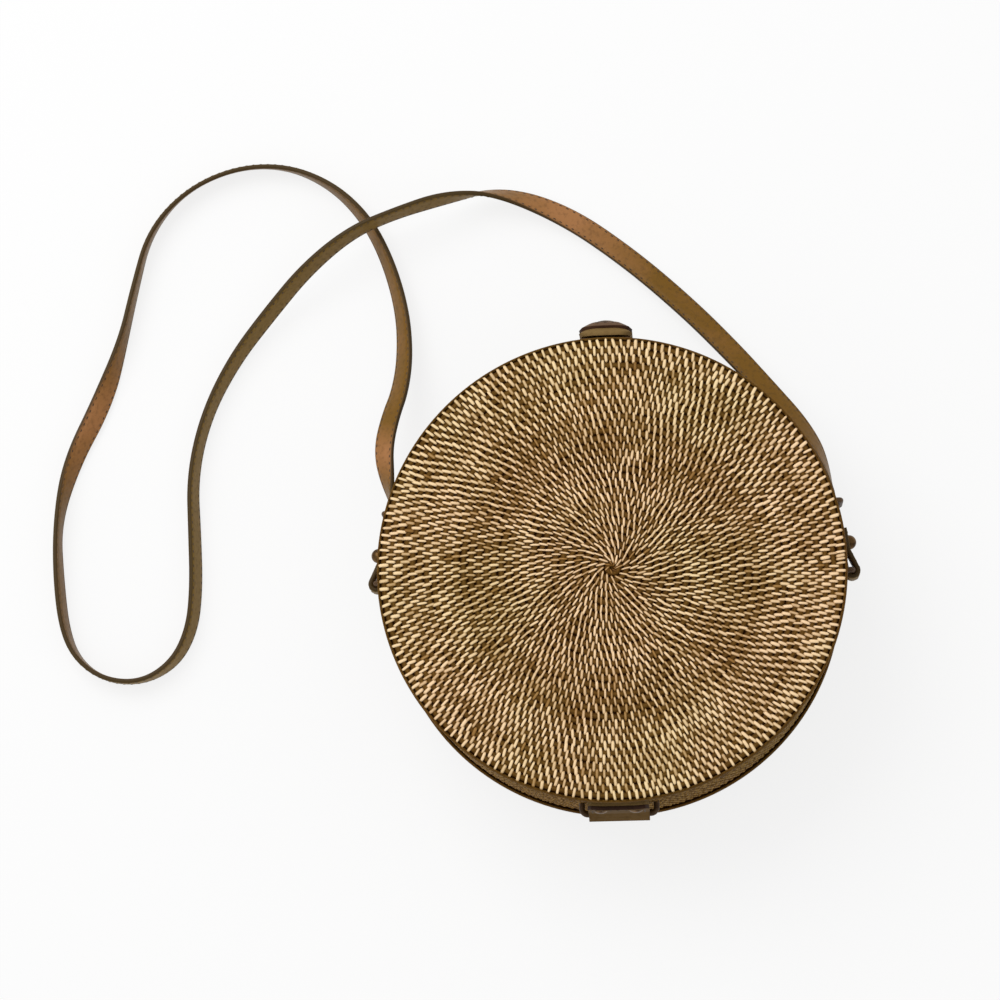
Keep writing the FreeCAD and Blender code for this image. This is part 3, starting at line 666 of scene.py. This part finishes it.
def coiled_wall(node, body, seed):
    """A stack of ring coils with a row of upright stitches on each."""
    chance = random.Random(seed)
    low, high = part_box(node)
    rows = round((high.z - low.z) / COIL_PITCH)
    pitch = (high.z - low.z) / rows
    inner = inner_radius(node)
    outer = high.x
    half_width = (outer - STITCH_PROUD - inner) / 2
    rings = bmesh.new()
    places = []
    row_tone = 0.0
    for row in range(rows):
        height = low.z + pitch * (row + 0.5)
        ring = mesh_of(ring_tube(inner + half_width, height, half_width, pitch / 2, steps=120))
        rings.from_mesh(ring)
        bpy.data.meshes.remove(ring)
        row_tone = next_tone(chance, row_tone)
        for index in range(WALL_STITCHES):
            stand = index + row * WALL_STAGGER + chance.gauss(0, WALL_SPACING_SPREAD)
            angle = math.tau * stand / WALL_STITCHES
            lean = LEAN + chance.gauss(0, WALL_LEAN_SPREAD)
            place = upright_band(angle, outer, height + chance.gauss(0, STITCH_WOBBLE), lean)
            width = chance.uniform(*WALL_STITCH_WIDTHS)
            size = Matrix.Diagonal((width, chance.uniform(*WALL_STITCH_LENGTHS), 1, 1))
            places.append((place @ size, band_tone(chance, row_tone - WALL_SHADE_DROP, place.translation)))
    coils = mesh_of(rings)
    mark_crowns(coils, lambda point: (math.hypot(point.x, point.y) - inner - half_width) / half_width)
    piece(node + "_coils", coils, body, "cane", CORE_CANE, replaces=[node])
    shape = band_shape(STITCH_WIDTH, pitch * WALL_STITCH_SHARE, STITCH_THICK, STITCH_DIP)
    piece(node + "_stitches", laid(shape, places), body, "cane", SHADED_WALL_CANE)


def wound_rim(node, body, seed):
    """A ring coil wound close with cane, which finishes an open edge."""
    chance = random.Random(seed)
    low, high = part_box(node)
    inner = inner_radius(node)
    half_width = (high.x - inner) / 2
    half_height = (high.z - low.z) / 2
    centre_radius = inner + half_width
    middle = (low.z + high.z) / 2
    bm = ring_tube(centre_radius, middle, half_width, half_height, steps=RIM_WRAPS * 4, sides=12)
    tones = [WRAP_TONE + chance.gauss(0, WRAP_TONE_SPREAD) for wrap in range(RIM_WRAPS)]

    def wrap_place(point):
        """Which wrap a point is on, counted with the winding's slant, and the way out of the coil."""
        angle = math.atan2(point.y, point.x) % math.tau
        ring = Vector((math.cos(angle), math.sin(angle), 0)) * centre_radius + UP * middle
        out = point - ring
        round_coil = math.atan2(out.z, math.hypot(point.x, point.y) - centre_radius) / math.tau
        return angle / math.tau * RIM_WRAPS + round_coil * WRAP_SLANT, out.normalized()

    tone = bm.verts.layers.float.new("tone")
    set_lay(bm, lambda loop: (wrap_place(loop.vert.co)[0] % 1, 0.5))
    for vert in bm.verts:
        wrap, out = wrap_place(vert.co)
        vert[tone] = min(max(tones[int(wrap) % RIM_WRAPS], 0), 1)
        vert.co -= out * WRAP_GROOVE * (1 - abs(math.sin(math.pi * wrap)) ** 0.6)
    piece(node + "_winding", mesh_of(bm), body, "cane", SHADED_RIM_CANE, replaces=[node])


coiled_wall("back_wall", "back_half", seed=31)
coiled_wall("front_wall", "lid", seed=37)
wound_rim("back_rim", "back_half", seed=41)
wound_rim("front_rim", "lid", seed=43)


# Cotton linings

CLOTH_THICK = 0.8 * MM
RUMPLE = 0.9 * MM
CUP_CORNER = 4 * MM
CORNER_STEPS = 5
WALL_STEPS = 10
PIPING = 0.8 * MM
PIPING_TUCK = 0.25 * MM


def lining_piping(node, body, outer, height):
    """A corded edge that joins a lining's brim to the wound rim."""
    rim_inner = inner_radius(node.split("_")[0] + "_rim")
    radius = (outer + rim_inner) / 2
    bm = ring_tube(radius, height, (rim_inner - outer) / 2 + PIPING_TUCK, PIPING, steps=180)

    def cloth_place(loop):
        point = loop.vert.co
        return math.atan2(point.y, point.x) * radius, math.hypot(point.x, point.y) + point.z

    set_lay(bm, cloth_place)
    return piece(node + "_piping", mesh_of(bm), body, "cotton", COTTON)


def rumple(bm, outer, rise):
    """Lifts a cup's cloth off its half here and there: the wall inwards and the rest along the rise."""
    for vert in bm.verts:
        lift = (noise.noise(vert.co * 45) + 0.5 * noise.noise(vert.co * 120)) * 0.5 + 0.5
        room = RUMPLE * min(max(lift, 0.0), 1.0)
        if math.hypot(vert.co.x, vert.co.y) > outer - 0.5 * MM:
            vert.co.x *= (outer - room) / outer
            vert.co.y *= (outer - room) / outer
        else:
            vert.co.z += rise * room


def lining_cup(node, body, rise):
    """A cotton cup sewn into one half, a little rumpled. Rise is 1 if it opens upwards, -1 if down."""
    low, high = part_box(node)
    outer = high.x
    bottom, brim = (low.z, high.z) if rise > 0 else (high.z, low.z)
    bm = bmesh.new()
    line = [bm.verts.new((outer * share, 0, bottom)) for share in (0, 0.25, 0.5, 0.75, 0.9)]
    corner_middle = Vector((outer - CUP_CORNER, 0, bottom + rise * CUP_CORNER))
    for step in range(CORNER_STEPS + 1):
        turn = math.pi / 2 * step / CORNER_STEPS
        way = Vector((math.sin(turn), 0, -rise * math.cos(turn)))
        line.append(bm.verts.new(corner_middle + way * CUP_CORNER))
    for step in range(1, WALL_STEPS + 1):
        height = corner_middle.z + (brim - corner_middle.z) * step / WALL_STEPS
        line.append(bm.verts.new((outer, 0, height)))
    for first, second in zip(line, line[1:]):
        bm.edges.new((first, second))
    spin_round(bm, steps=144)

    def cloth_place(loop):
        point = loop.vert.co
        if abs(loop.face.normal.z) < 0.5:
            return math.atan2(point.y, point.x) * outer, point.z
        return point.x, point.y

    set_lay(bm, cloth_place)
    rumple(bm, outer, rise)
    cup = piece(node + "_cloth", mesh_of(bm), body, "cotton", COTTON, replaces=[node])
    cloth = cup.modifiers.new("cloth", "SOLIDIFY")
    cloth.thickness = CLOTH_THICK
    cloth.offset = -1.0
    piping = lining_piping(node, body, outer, brim - rise * PIPING)


lining_cup("back_lining", "back_half", rise=1)
lining_cup("front_lining", "lid", rise=-1)


# Shoulder strap: flat leather that stands on edge, lies on its side and turns over along its way

STRAP_WIDTH = 10 * MM
STRAP_THICK = 2.2 * MM
SEAM_INSET = 1.15 * MM
SEAM_STEP = 3.3 * MM
THREAD_TONE = 0.5
THREAD_PROUD = 0.22 * MM
FLESH_THREAD_DEPTH = STRAP_THICK * 0.47 + 0.15 * MM
# Points in millimetres, and how far the strap leans there: 0 stands on edge, 90 lies grain side up
STRAP_ROUTE = [
    (96.39, 37.13, 29, 0), (93.5, 52, 29, 22), (84, 68.5, 25, 52), (69.5, 86.5, 19, 68), (55, 105, 13, 74),
    (36, 127, 6.5, 76), (10.5, 151.5, 3, 78), (-18, 172.5, 4.5, 78), (-47.5, 183.2, 9.5, 34),
    (-72, 179.7, 15, -17), (-95, 172, 18.5, -8), (-114.5, 164, 18.5, -13), (-135, 149, 13.5, -21),
    (-152.4, 130.3, 8, -23), (-169, 110, 5.4, -19), (-182, 85, 5.3, -13), (-188.5, 57.5, 5.3, -14),
    (-187.5, 30, 5.3, -19), (-187, 7, 5.3, -19), (-189, -12, 5.3, -17), (-196.6, -26.8, 5.3, -9),
    (-211, -35.2, 5.3, 4),
    (-227.5, -34, 5.3, 2), (-240, -25, 5.3, 3), (-246.3, -11, 5.3, 10), (-249, 13, 5.3, 11),
    (-249.6, 38.5, 5.3, 1), (-243, 65.3, 5.2, 36), (-229.3, 92, 4.6, 54), (-220, 118.5, 5.3, 7),
    (-214, 145, 5.3, 2), (-207.4, 170.3, 5.3, -5), (-191, 189.5, 5.3, -17), (-168, 199.5, 5.3, -17),
    (-144.5, 199.5, 5.3, -10), (-123.5, 189.5, 5.3, 5), (-108, 173, 5.3, 20), (-98.5, 153, 5.3, 27),
    (-92.5, 130, 6, 33), (-91.3, 108.5, 10, 43), (-93.2, 91, 17.5, 49), (-97.4, 78, 23, 54),
    (-100.2, 63.5, 28, 58), (-99, 50.5, 29, 40), (-96.39, 37.13, 29, 0)]
# Painted light: where the strap lies face-on to the lamp, in millimetres, and how far its painted highlight
# reaches from there
STRAP_LIT_PATCHES = [(-16, 171, 50), (-234, 84, 42), (-99, 60, 16)]


def strap_section():
    """The strap's section: domed grain side on +X with two sunk seams, flat flesh side, rounded edges."""
    half = STRAP_WIDTH / 2
    deep = STRAP_THICK / 2
    seam = half - SEAM_INSET
    grain = [
        (deep * 0.45, -half), (deep * 0.82, -half + 0.3 * MM), (deep * 0.9, -seam - 0.45 * MM),
        (deep * 0.76, -seam), (deep * 0.92, -seam + 0.45 * MM), (deep, -half * 0.4), (deep, half * 0.4),
        (deep * 0.92, seam - 0.45 * MM), (deep * 0.76, seam), (deep * 0.9, seam + 0.45 * MM),
        (deep * 0.82, half - 0.3 * MM), (deep * 0.45, half)]
    flesh = [
        (-deep * 0.5, half), (-deep * 0.9, half - 0.35 * MM), (-deep * 0.95, half * 0.45),
        (-deep * 0.95, -half * 0.45), (-deep * 0.9, -half + 0.35 * MM), (-deep * 0.5, -half)]
    return grain + flesh


# The section's points, and where among them its seams and the middle of its grain side lie
SECTION = strap_section()
SEAM_LOW, SEAM_HIGH = 3, 8
CROWN_LOW, CROWN_HIGH = 5, 6


def route_curve(points, leans, kind):
    """A curve through or along a route, with the strap's lean as its tilt."""
    curve = bpy.data.curves.new("route", "CURVE")
    curve.dimensions = "3D"
    curve.twist_mode = "Z_UP"
    spline = curve.splines.new(kind)
    spline.points.add(len(points) - 1)
    for control, point, lean in zip(spline.points, points, leans):
        control.co = (*point, 1)
        control.tilt = -math.radians(lean)
    if kind == "NURBS":
        spline.order_u = 3
        spline.use_endpoint_u = True
        spline.resolution_u = 12
    return curve


def mesh_from_curve(curve):
    holder = shown("route", curve)
    mesh = bpy.data.meshes.new_from_object(holder.evaluated_get(bpy.context.evaluated_depsgraph_get()))
    bpy.data.objects.remove(holder)
    return mesh


def section_object():
    curve = bpy.data.curves.new("section", "CURVE")
    curve.dimensions = "2D"
    spline = curve.splines.new("POLY")
    spline.points.add(len(SECTION) - 1)
    for control, (out, up) in zip(spline.points, SECTION):
        control.co = (out, up, 0, 1)
    spline.use_cyclic_u = True
    return shown("section", curve)


def painted_light_share(point):
    """How much painted light a point takes: 1 in the middle of a lit patch, 0 beyond its reach."""
    paled = 0.0
    for x, y, reach in STRAP_LIT_PATCHES:
        paled = max(paled, 1 - math.hypot(point.x - x * MM, point.y - y * MM) / (reach * MM))
    return paled


def leather_ribbon(points, leans, kind):
    """A strap swept along a route: its mesh, the points of its middle line, and a ring of points at each."""
    curve = route_curve(points, leans, kind)
    line = [v.co.copy() for v in mesh_from_curve(curve).vertices]
    holder = section_object()
    curve.bevel_mode = "OBJECT"
    curve.bevel_object = holder
    mesh = mesh_from_curve(curve)
    bpy.data.objects.remove(holder)
    sides = len(SECTION)
    rings = [[mesh.vertices[ring * sides + k].co.copy() for k in range(sides)] for ring in range(len(line))]
    bm = bmesh.new()
    bm.from_mesh(mesh)
    side = bm.verts.layers.float.new("grain_side")
    bent = bm.verts.layers.float.new("bent")
    bm.verts.index_update()
    for layer in list(bm.loops.layers.uv.values()):
        bm.loops.layers.uv.remove(layer)
    marks = distances(line)

    def strap_place(loop):
        ring, place = divmod(loop.vert.index, sides)
        return 0.5 + SECTION[place][1] / STRAP_WIDTH, marks[ring] / STRAP_WIDTH

    set_lay(bm, strap_place)
    for vert in bm.verts:
        vert[side] = 1.0 if SECTION[vert.index % sides][0] > 0 else 0.0
        vert[bent] = painted_light_share(vert.co)
    ends = [edge for edge in bm.edges if edge.is_boundary]
    bmesh.ops.holes_fill(bm, edges=ends, sides=0)
    bmesh.ops.recalc_face_normals(bm, faces=bm.faces)
    return mesh_of(bm), line, rings


def seam_places(line, rings, skip_ends):
    """Matrices of the thread stitches along both edges of a ribbon, on both of its faces."""
    marks = distances(line)
    seam = STRAP_WIDTH / 2 - SEAM_INSET
    places = []
    next_stitch = skip_ends
    for index, (start, end) in enumerate(zip(marks, marks[1:])):
        while end > next_stitch and next_stitch < marks[-1] - skip_ends:
            share = (next_stitch - start) / (end - start)
            ring = [first.lerp(second, share) for first, second in zip(rings[index], rings[index + 1])]
            along = (line[index + 1] - line[index]).normalized()
            middle = line[index].lerp(line[index + 1], share)
            grain = (ring[CROWN_LOW].lerp(ring[CROWN_HIGH], 0.5) - middle).normalized()
            across = (ring[SEAM_HIGH] - ring[SEAM_LOW]).normalized()
            for place in (SEAM_LOW, SEAM_HIGH):
                spot = ring[place] + grain * THREAD_PROUD
                places.append((axes(along.cross(grain), along, grain, spot), THREAD_TONE))
            for sign in (-1, 1):
                spot = middle + across * seam * sign - grain * FLESH_THREAD_DEPTH
                places.append((axes(along.cross(-grain), along, -grain, spot), THREAD_TONE))
            next_stitch += SEAM_STEP
    return places


THREAD_SHAPE = band_shape(width=0.85 * MM, length=2.0 * MM, thickness=0.5 * MM, dip=0.25 * MM)


def shoulder_strap():
    """The free strap with its two rows of stitching, from the right wall to the left one."""
    points = [Vector(stop[:3]) * MM for stop in STRAP_ROUTE]
    leans = [stop[3] for stop in STRAP_ROUTE]
    mesh, line, rings = leather_ribbon(points, leans, "NURBS")
    strap = piece("strap", mesh, "back_half", "leather", STRAP_LEATHER, replaces=["shoulder_strap"])
    seam = laid(THREAD_SHAPE, seam_places(line, rings, skip_ends=SEAM_STEP / 2))
    stitching = piece("strap_stitching", seam, "back_half", "leather", THREAD)
    distances(line)[-1]
    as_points(line)


shoulder_strap()


# Leather strips: hinge, tab, stud patch and the strap's doubled ends

def touch(point, bar, radius, side):
    """Where a straight strip from a point meets its loop round a bar, on one side of the bar."""
    away = point - bar
    turn = side * math.acos(radius / away.length)
    return bar + away.normalized() * radius @ Matrix.Rotation(-turn, 2)


def doubled_line(inner, outer, inner_top, outer_top, bend, bar, radius):
    """The middle line of a strip that comes down its inner ply, round a bar and up its outer ply."""
    first = touch(Vector((inner, bend)), bar, radius, 1)
    last = touch(Vector((outer, bend)), bar, radius, -1)
    start = math.atan2(*reversed(first - bar)) % math.tau
    end = math.atan2(*reversed(last - bar)) + math.tau
    steps = 32
    turns = [start + (end - start) * step / steps for step in range(steps + 1)]
    loop = [bar + Vector((math.cos(turn), math.sin(turn))) * radius for turn in turns]
    inner_ply = [Vector((inner, inner_top)), Vector((inner, bend))]
    outer_ply = [Vector((outer, bend)), Vector((outer, outer_top))]
    return inner_ply + loop + outer_ply


# Material places on a strip: its outer ply has the first, its cut edges the next, its inner ply the third
OUTER_PLY, CUT_EDGE, INNER_PLY = 0, 1, 2
THREAD_LIFT = 0.2 * MM
STRIP_COLUMNS = 16
STRIP_ROW = 0.4 * MM
WORN_EDGE = 0.35 * MM


class Strip:
    """A strip of leather along (out, up) points, with rounded ends, set in place by the place function."""

    def __init__(self, line, width, thickness, corner, place):
        self.line = line
        self.half = width / 2
        self.thickness = thickness
        self.corner = corner
        self.place = place
        self.marks = distances(line)
        self.length = self.marks[-1]

    def on_line(self, travelled):
        for index, mark in enumerate(self.marks[1:]):
            if travelled <= mark or index == len(self.marks) - 2:
                share = (travelled - self.marks[index]) / (mark - self.marks[index])
                return self.line[index].lerp(self.line[index + 1], share)

    def rounded(self, across, travelled):
        """The strip's ends pulled in at their corners."""
        over = max(0.0, abs(across) - self.half + self.corner)
        cut = self.corner - math.sqrt(max(0.0, self.corner ** 2 - over ** 2))
        zone = 3 * self.corner
        from_end = min(travelled, self.length - travelled)
        moved = from_end if from_end > zone else cut + from_end * (zone - cut) / zone
        return moved if travelled < self.length / 2 else self.length - moved

    def at(self, across, travelled):
        return self.place(across, self.on_line(self.rounded(across, travelled)))

    def frame_at(self, across, travelled, heading):
        """Matrix of a thread stitch on the strip's outer face, headed across or along it."""
        small = 0.2 * MM
        middle = self.at(across, travelled)
        side = (self.at(across + small, travelled) - self.at(across - small, travelled)).normalized()
        way = (self.at(across, travelled + small) - self.at(across, travelled - small)).normalized()
        normal = side.cross(way).normalized()
        along = way if heading == "along" else side
        return axes(along.cross(normal), along, normal, middle + normal * (self.thickness / 2 + THREAD_LIFT))

    def mesh(self):
        rows = round(self.length / STRIP_ROW)
        bm = bmesh.new()
        bmesh.ops.create_grid(bm, x_segments=STRIP_COLUMNS, y_segments=rows, size=1.0)
        for face in bm.faces:
            face.material_index = OUTER_PLY if face.calc_center_median().y > 0 else INNER_PLY
        for vert in bm.verts:
            vert.co = self.at(vert.co.x * self.half, (vert.co.y + 1) / 2 * self.length)
        return mesh_of(bm)


def leather_strip(strip, name, body, node, face, flesh):
    """A strip with its face, its cut edges and its flesh side finished apart, and its inner ply undyed."""
    made = piece(name, strip.mesh(), body, "leather", face, TAB_EDGE, flesh, flesh, flesh, replaces=[node])
    hide = made.modifiers.new("hide", "SOLIDIFY")
    hide.thickness = strip.thickness
    hide.offset = 0.0
    hide.use_even_offset = True
    hide.material_offset_rim = CUT_EDGE
    hide.material_offset = INNER_PLY
    worn = made.modifiers.new("worn_edges", "BEVEL")
    worn.width = WORN_EDGE
    worn.segments = 2
    worn.limit_method = "ANGLE"


def edge_seam(strip, name, body, start, inset):
    """Thread stitches up one edge of a strip, across its end and down the other edge."""
    places = []
    side = strip.half - inset
    turn_in = strip.length - inset
    ups = int((turn_in - strip.corner * 0.5 - start) / SEAM_STEP)
    for step in range(ups):
        travelled = start + SEAM_STEP * (step + 0.5)
        for sign in (-1, 1):
            places.append((strip.frame_at(sign * side, travelled, "along"), THREAD_TONE))
    acrosses = int(2 * (side - strip.corner * 0.5) / SEAM_STEP)
    for step in range(acrosses):
        across = SEAM_STEP * (step - (acrosses - 1) / 2)
        places.append((strip.frame_at(across, turn_in, "across"), THREAD_TONE))
    piece(name, laid(THREAD_SHAPE, places), body, "leather", THREAD)


STRIP_PLY = 1.8 * MM
STRIP_INSET = 2 * MM
BARS = {joint["name"]: Vector(joint["pos_m"]) for joint in frame["joints"]}
WALL_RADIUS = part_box("back_wall")[1].x


def wall_drop(across):
    """How far the round wall falls back from its foremost line."""
    return WALL_RADIUS - math.sqrt(WALL_RADIUS ** 2 - across ** 2)


def wall_hollow(across, flat):
    """How far a strip with a flat middle bends back to follow the wall."""
    return max(0.0, wall_drop(across) - wall_drop(flat))


def smooth_step(value, low, high):
    share = min(max((value - low) / (high - low), 0.0), 1.0)
    return share * share * (3 - 2 * share)


def hinge_leather():
    """The hinge: riveted to the front wall, doubled round its bar, hollowed to the wall past its rivets."""
    low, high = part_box("hinge_strap")
    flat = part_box("hinge_rivets")[1].x * 0.7
    bar = Vector((-BARS["lid_hinge"].y, BARS["lid_hinge"].z))
    inner = -high.y + STRIP_PLY / 2
    loop = -low.y - bar.x - STRIP_PLY / 2
    bend = bar.y + 8 * MM
    line = doubled_line(inner, inner + STRIP_PLY, high.z, high.z, bend, bar, loop)
    hollow_start, hollow_end = bar.y + 3 * MM, bar.y + 12 * MM
    sewn = 17 * MM

    def place(across, spot):
        back = wall_hollow(across, flat)
        return Vector((across, -spot.x + back * smooth_step(spot.y, hollow_start, hollow_end), spot.y))

    strip = Strip(line, high.x - low.x, STRIP_PLY, corner=3 * MM, place=place)
    leather_strip(strip, "hinge_leather", "lid", "hinge_strap", HINGE_LEATHER, TAB_FLESH)
    edge_seam(strip, "hinge_stitching", "lid", start=strip.length - sewn, inset=STRIP_INSET)


def tab_leather():
    """The snap tab, doubled round its bar."""
    low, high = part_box("closure_tab")
    bar = BARS["tab_hinge"].yz
    socket_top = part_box("snap_socket")[1]
    inner = socket_top.y + STRIP_PLY / 2
    loop = bar.x - low.y - STRIP_PLY / 2
    inner_tip = high.z + 2.6 * MM
    bend = bar.y + 16 * MM
    line = doubled_line(inner, inner + STRIP_PLY, inner_tip, high.z, bend, bar, loop)
    half = high.x
    flat = 4.6 * MM
    fall = 3.0 * MM
    splay = 3.6 * MM
    bow_start, bow_end = bar.y + 3 * MM, bar.y + 20 * MM
    sewn = 26 * MM

    def place(across, spot):
        """Both plies bow back at their sides, and their tips turn in above the snap."""
        past = max(0.0, (abs(across) - flat) / (half - flat))
        bow = fall * past ** 1.2 * smooth_step(spot.y, bow_start, bow_end)
        bow += splay * (1 - 0.65 * past) * smooth_step(spot.y, socket_top.z, inner_tip)
        return Vector((-across, spot.x - bow, spot.y))

    strip = Strip(line, high.x - low.x, STRIP_PLY, corner=6 * MM, place=place)
    leather_strip(strip, "tab_leather", "tab", "closure_tab", TAB_LEATHER, TAB_FLESH)
    edge_seam(strip, "tab_stitching", "tab", start=strip.length - sewn, inset=STRIP_INSET)


def stud_patch_leather():
    """The flat patch that carries the snap's stud, hollowed to the wall past its rivets."""
    low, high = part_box("stud_patch")
    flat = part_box("stud_patch_rivets")[1].x * 0.8
    line = [Vector((low.y + STRIP_PLY / 2, low.z)), Vector((low.y + STRIP_PLY / 2, high.z))]

    def place(across, spot):
        return Vector((-across, spot.x - wall_hollow(across, flat), spot.y))

    strip = Strip(line, high.x - low.x, STRIP_PLY, corner=2.5 * MM, place=place)
    leather_strip(strip, "stud_patch_leather", "lid", "stud_patch", TAB_FLESH, TAB_FLESH)


hinge_leather()
tab_leather()
stud_patch_leather()

ANCHOR_ANGLE = math.radians(8.2)
ANCHOR_HEIGHT = 29 * MM
END_INNER = 100.7 * MM
END_INNER_TOP = 23 * MM
END_OUTER_TOP = 6 * MM
END_BEND = -4 * MM
END_BAR = Vector((103.1 * MM, -13 * MM))
END_LOOP = 2.4 * MM


def strap_end(side_name, side):
    """The strap's doubled end: down its wall, round the lower bar and back up under the knob."""
    line = doubled_line(
        END_INNER, END_INNER + STRAP_THICK, END_INNER_TOP, END_OUTER_TOP, END_BEND, END_BAR, END_LOOP)
    points = []
    for spot in line:
        out = spot.x * math.cos(ANCHOR_ANGLE) - spot.y * math.sin(ANCHOR_ANGLE)
        up = spot.x * math.sin(ANCHOR_ANGLE) + spot.y * math.cos(ANCHOR_ANGLE)
        points.append(Vector((out * side, up, ANCHOR_HEIGHT)))
    if side > 0:
        points.reverse()
    mesh, middle, rings = leather_ribbon(points, [0] * len(points), "POLY")
    node = side_name + "_strap_end"
    piece(node + "_leather", mesh, "back_half", "leather", STRAP_LEATHER, replaces=[node])
    seam = laid(THREAD_SHAPE, seam_places(middle, rings, skip_ends=2 * MM))
    piece(node + "_stitching", seam, "back_half", "leather", THREAD)


strap_end("right", 1)
strap_end("left", -1)


# Finishes of the solids that keep their own shape

def dress(finish, *nodes):
    for node in nodes:
        solid = frame["nodes"][node]
        solid.data.materials.clear()
        solid.data.materials.append(finish)


dress(
    BAR_CANE, "hinge_bar", "tab_bar", "right_strap_bar", "left_strap_bar", "right_strap_keeper",
    "left_strap_keeper")
dress(
    BRASS, "hinge_rivets", "snap_cap", "snap_socket", "stud_post", "snap_stud", "stud_patch_rivets",
    "right_strap_stud", "left_strap_stud")


# Camera, floor and light

CAMERA_EYE = Vector((29.8, -224.3, 1558.8)) * MM
CAMERA_AIM = Vector((-46.66, 30.17, 76)) * MM
CAMERA_ROLL = math.radians(-1.22)
CAMERA_LENS = 127.26
SENSOR_WIDTH = 36
FLOOR_SIZE = 3.0
FLOOR_WHITE = (0.93, 0.93, 0.93, 1)
FLOOR_GLOW = 0.8
SKY_STRENGTH = 0.6
LAMP_PLACE = Vector((-0.7, 0.75, 1.35))
LAMP_SIZE = 1.2
LAMP_POWER = 14


def camera():
    """The photograph's view, almost from above."""
    back = (CAMERA_EYE - CAMERA_AIM).normalized()
    level = Vector((0, 1, 0)).cross(back).normalized()
    rise = back.cross(level)
    right = level * math.cos(CAMERA_ROLL) + rise * math.sin(CAMERA_ROLL)
    lens = bpy.data.cameras.new("camera")
    lens.lens = CAMERA_LENS
    lens.sensor_width = SENSOR_WIDTH
    made = shown("camera", lens)
    made.matrix_world = axes(right, back.cross(right), back, CAMERA_EYE)
    bpy.context.scene.camera = made


def floor():
    """A white floor that keeps the bag's shadow."""
    bm = bmesh.new()
    bmesh.ops.create_grid(bm, x_segments=1, y_segments=1, size=FLOOR_SIZE)
    made = shown("floor", mesh_of(bm))
    finish = Finish("floor_white", Base_Color=FLOOR_WHITE, Roughness=0.9, Specular_IOR_Level=0.1)
    in_sight = finish.node("ShaderNodeLightPath", output="Is Camera Ray")
    mirrored = finish.node("ShaderNodeLightPath", output="Is Glossy Ray")
    plain = Value(finish, finish.surface.outputs[0])
    glow = finish.node("ShaderNodeEmission")
    blend = finish.node("ShaderNodeMixShader", None, {
        0: (in_sight + mirrored) * FLOOR_GLOW, 1: plain, 2: glow})
    finish.fill(finish.tree.nodes["Material Output"], {"Surface": blend})
    made.data.materials.append(finish.material)


def studio_light():
    """An even white sky and one soft lamp."""
    world = bpy.data.worlds.new("studio")
    world.use_nodes = True
    sky = world.node_tree.nodes["Background"]
    sky.inputs["Color"].default_value = (1, 1, 1, 1)
    sky.inputs["Strength"].default_value = SKY_STRENGTH
    bpy.context.scene.world = world
    lamp = bpy.data.lights.new("key", "AREA")
    lamp.size = LAMP_SIZE
    lamp.energy = LAMP_POWER
    turned = LAMP_PLACE.to_track_quat("Z", "Y").to_matrix().to_4x4()
    shown("key", lamp).matrix_world = Matrix.Translation(LAMP_PLACE) @ turned
    bpy.context.scene.view_settings.view_transform = "Standard"


camera()
floor()
studio_light()
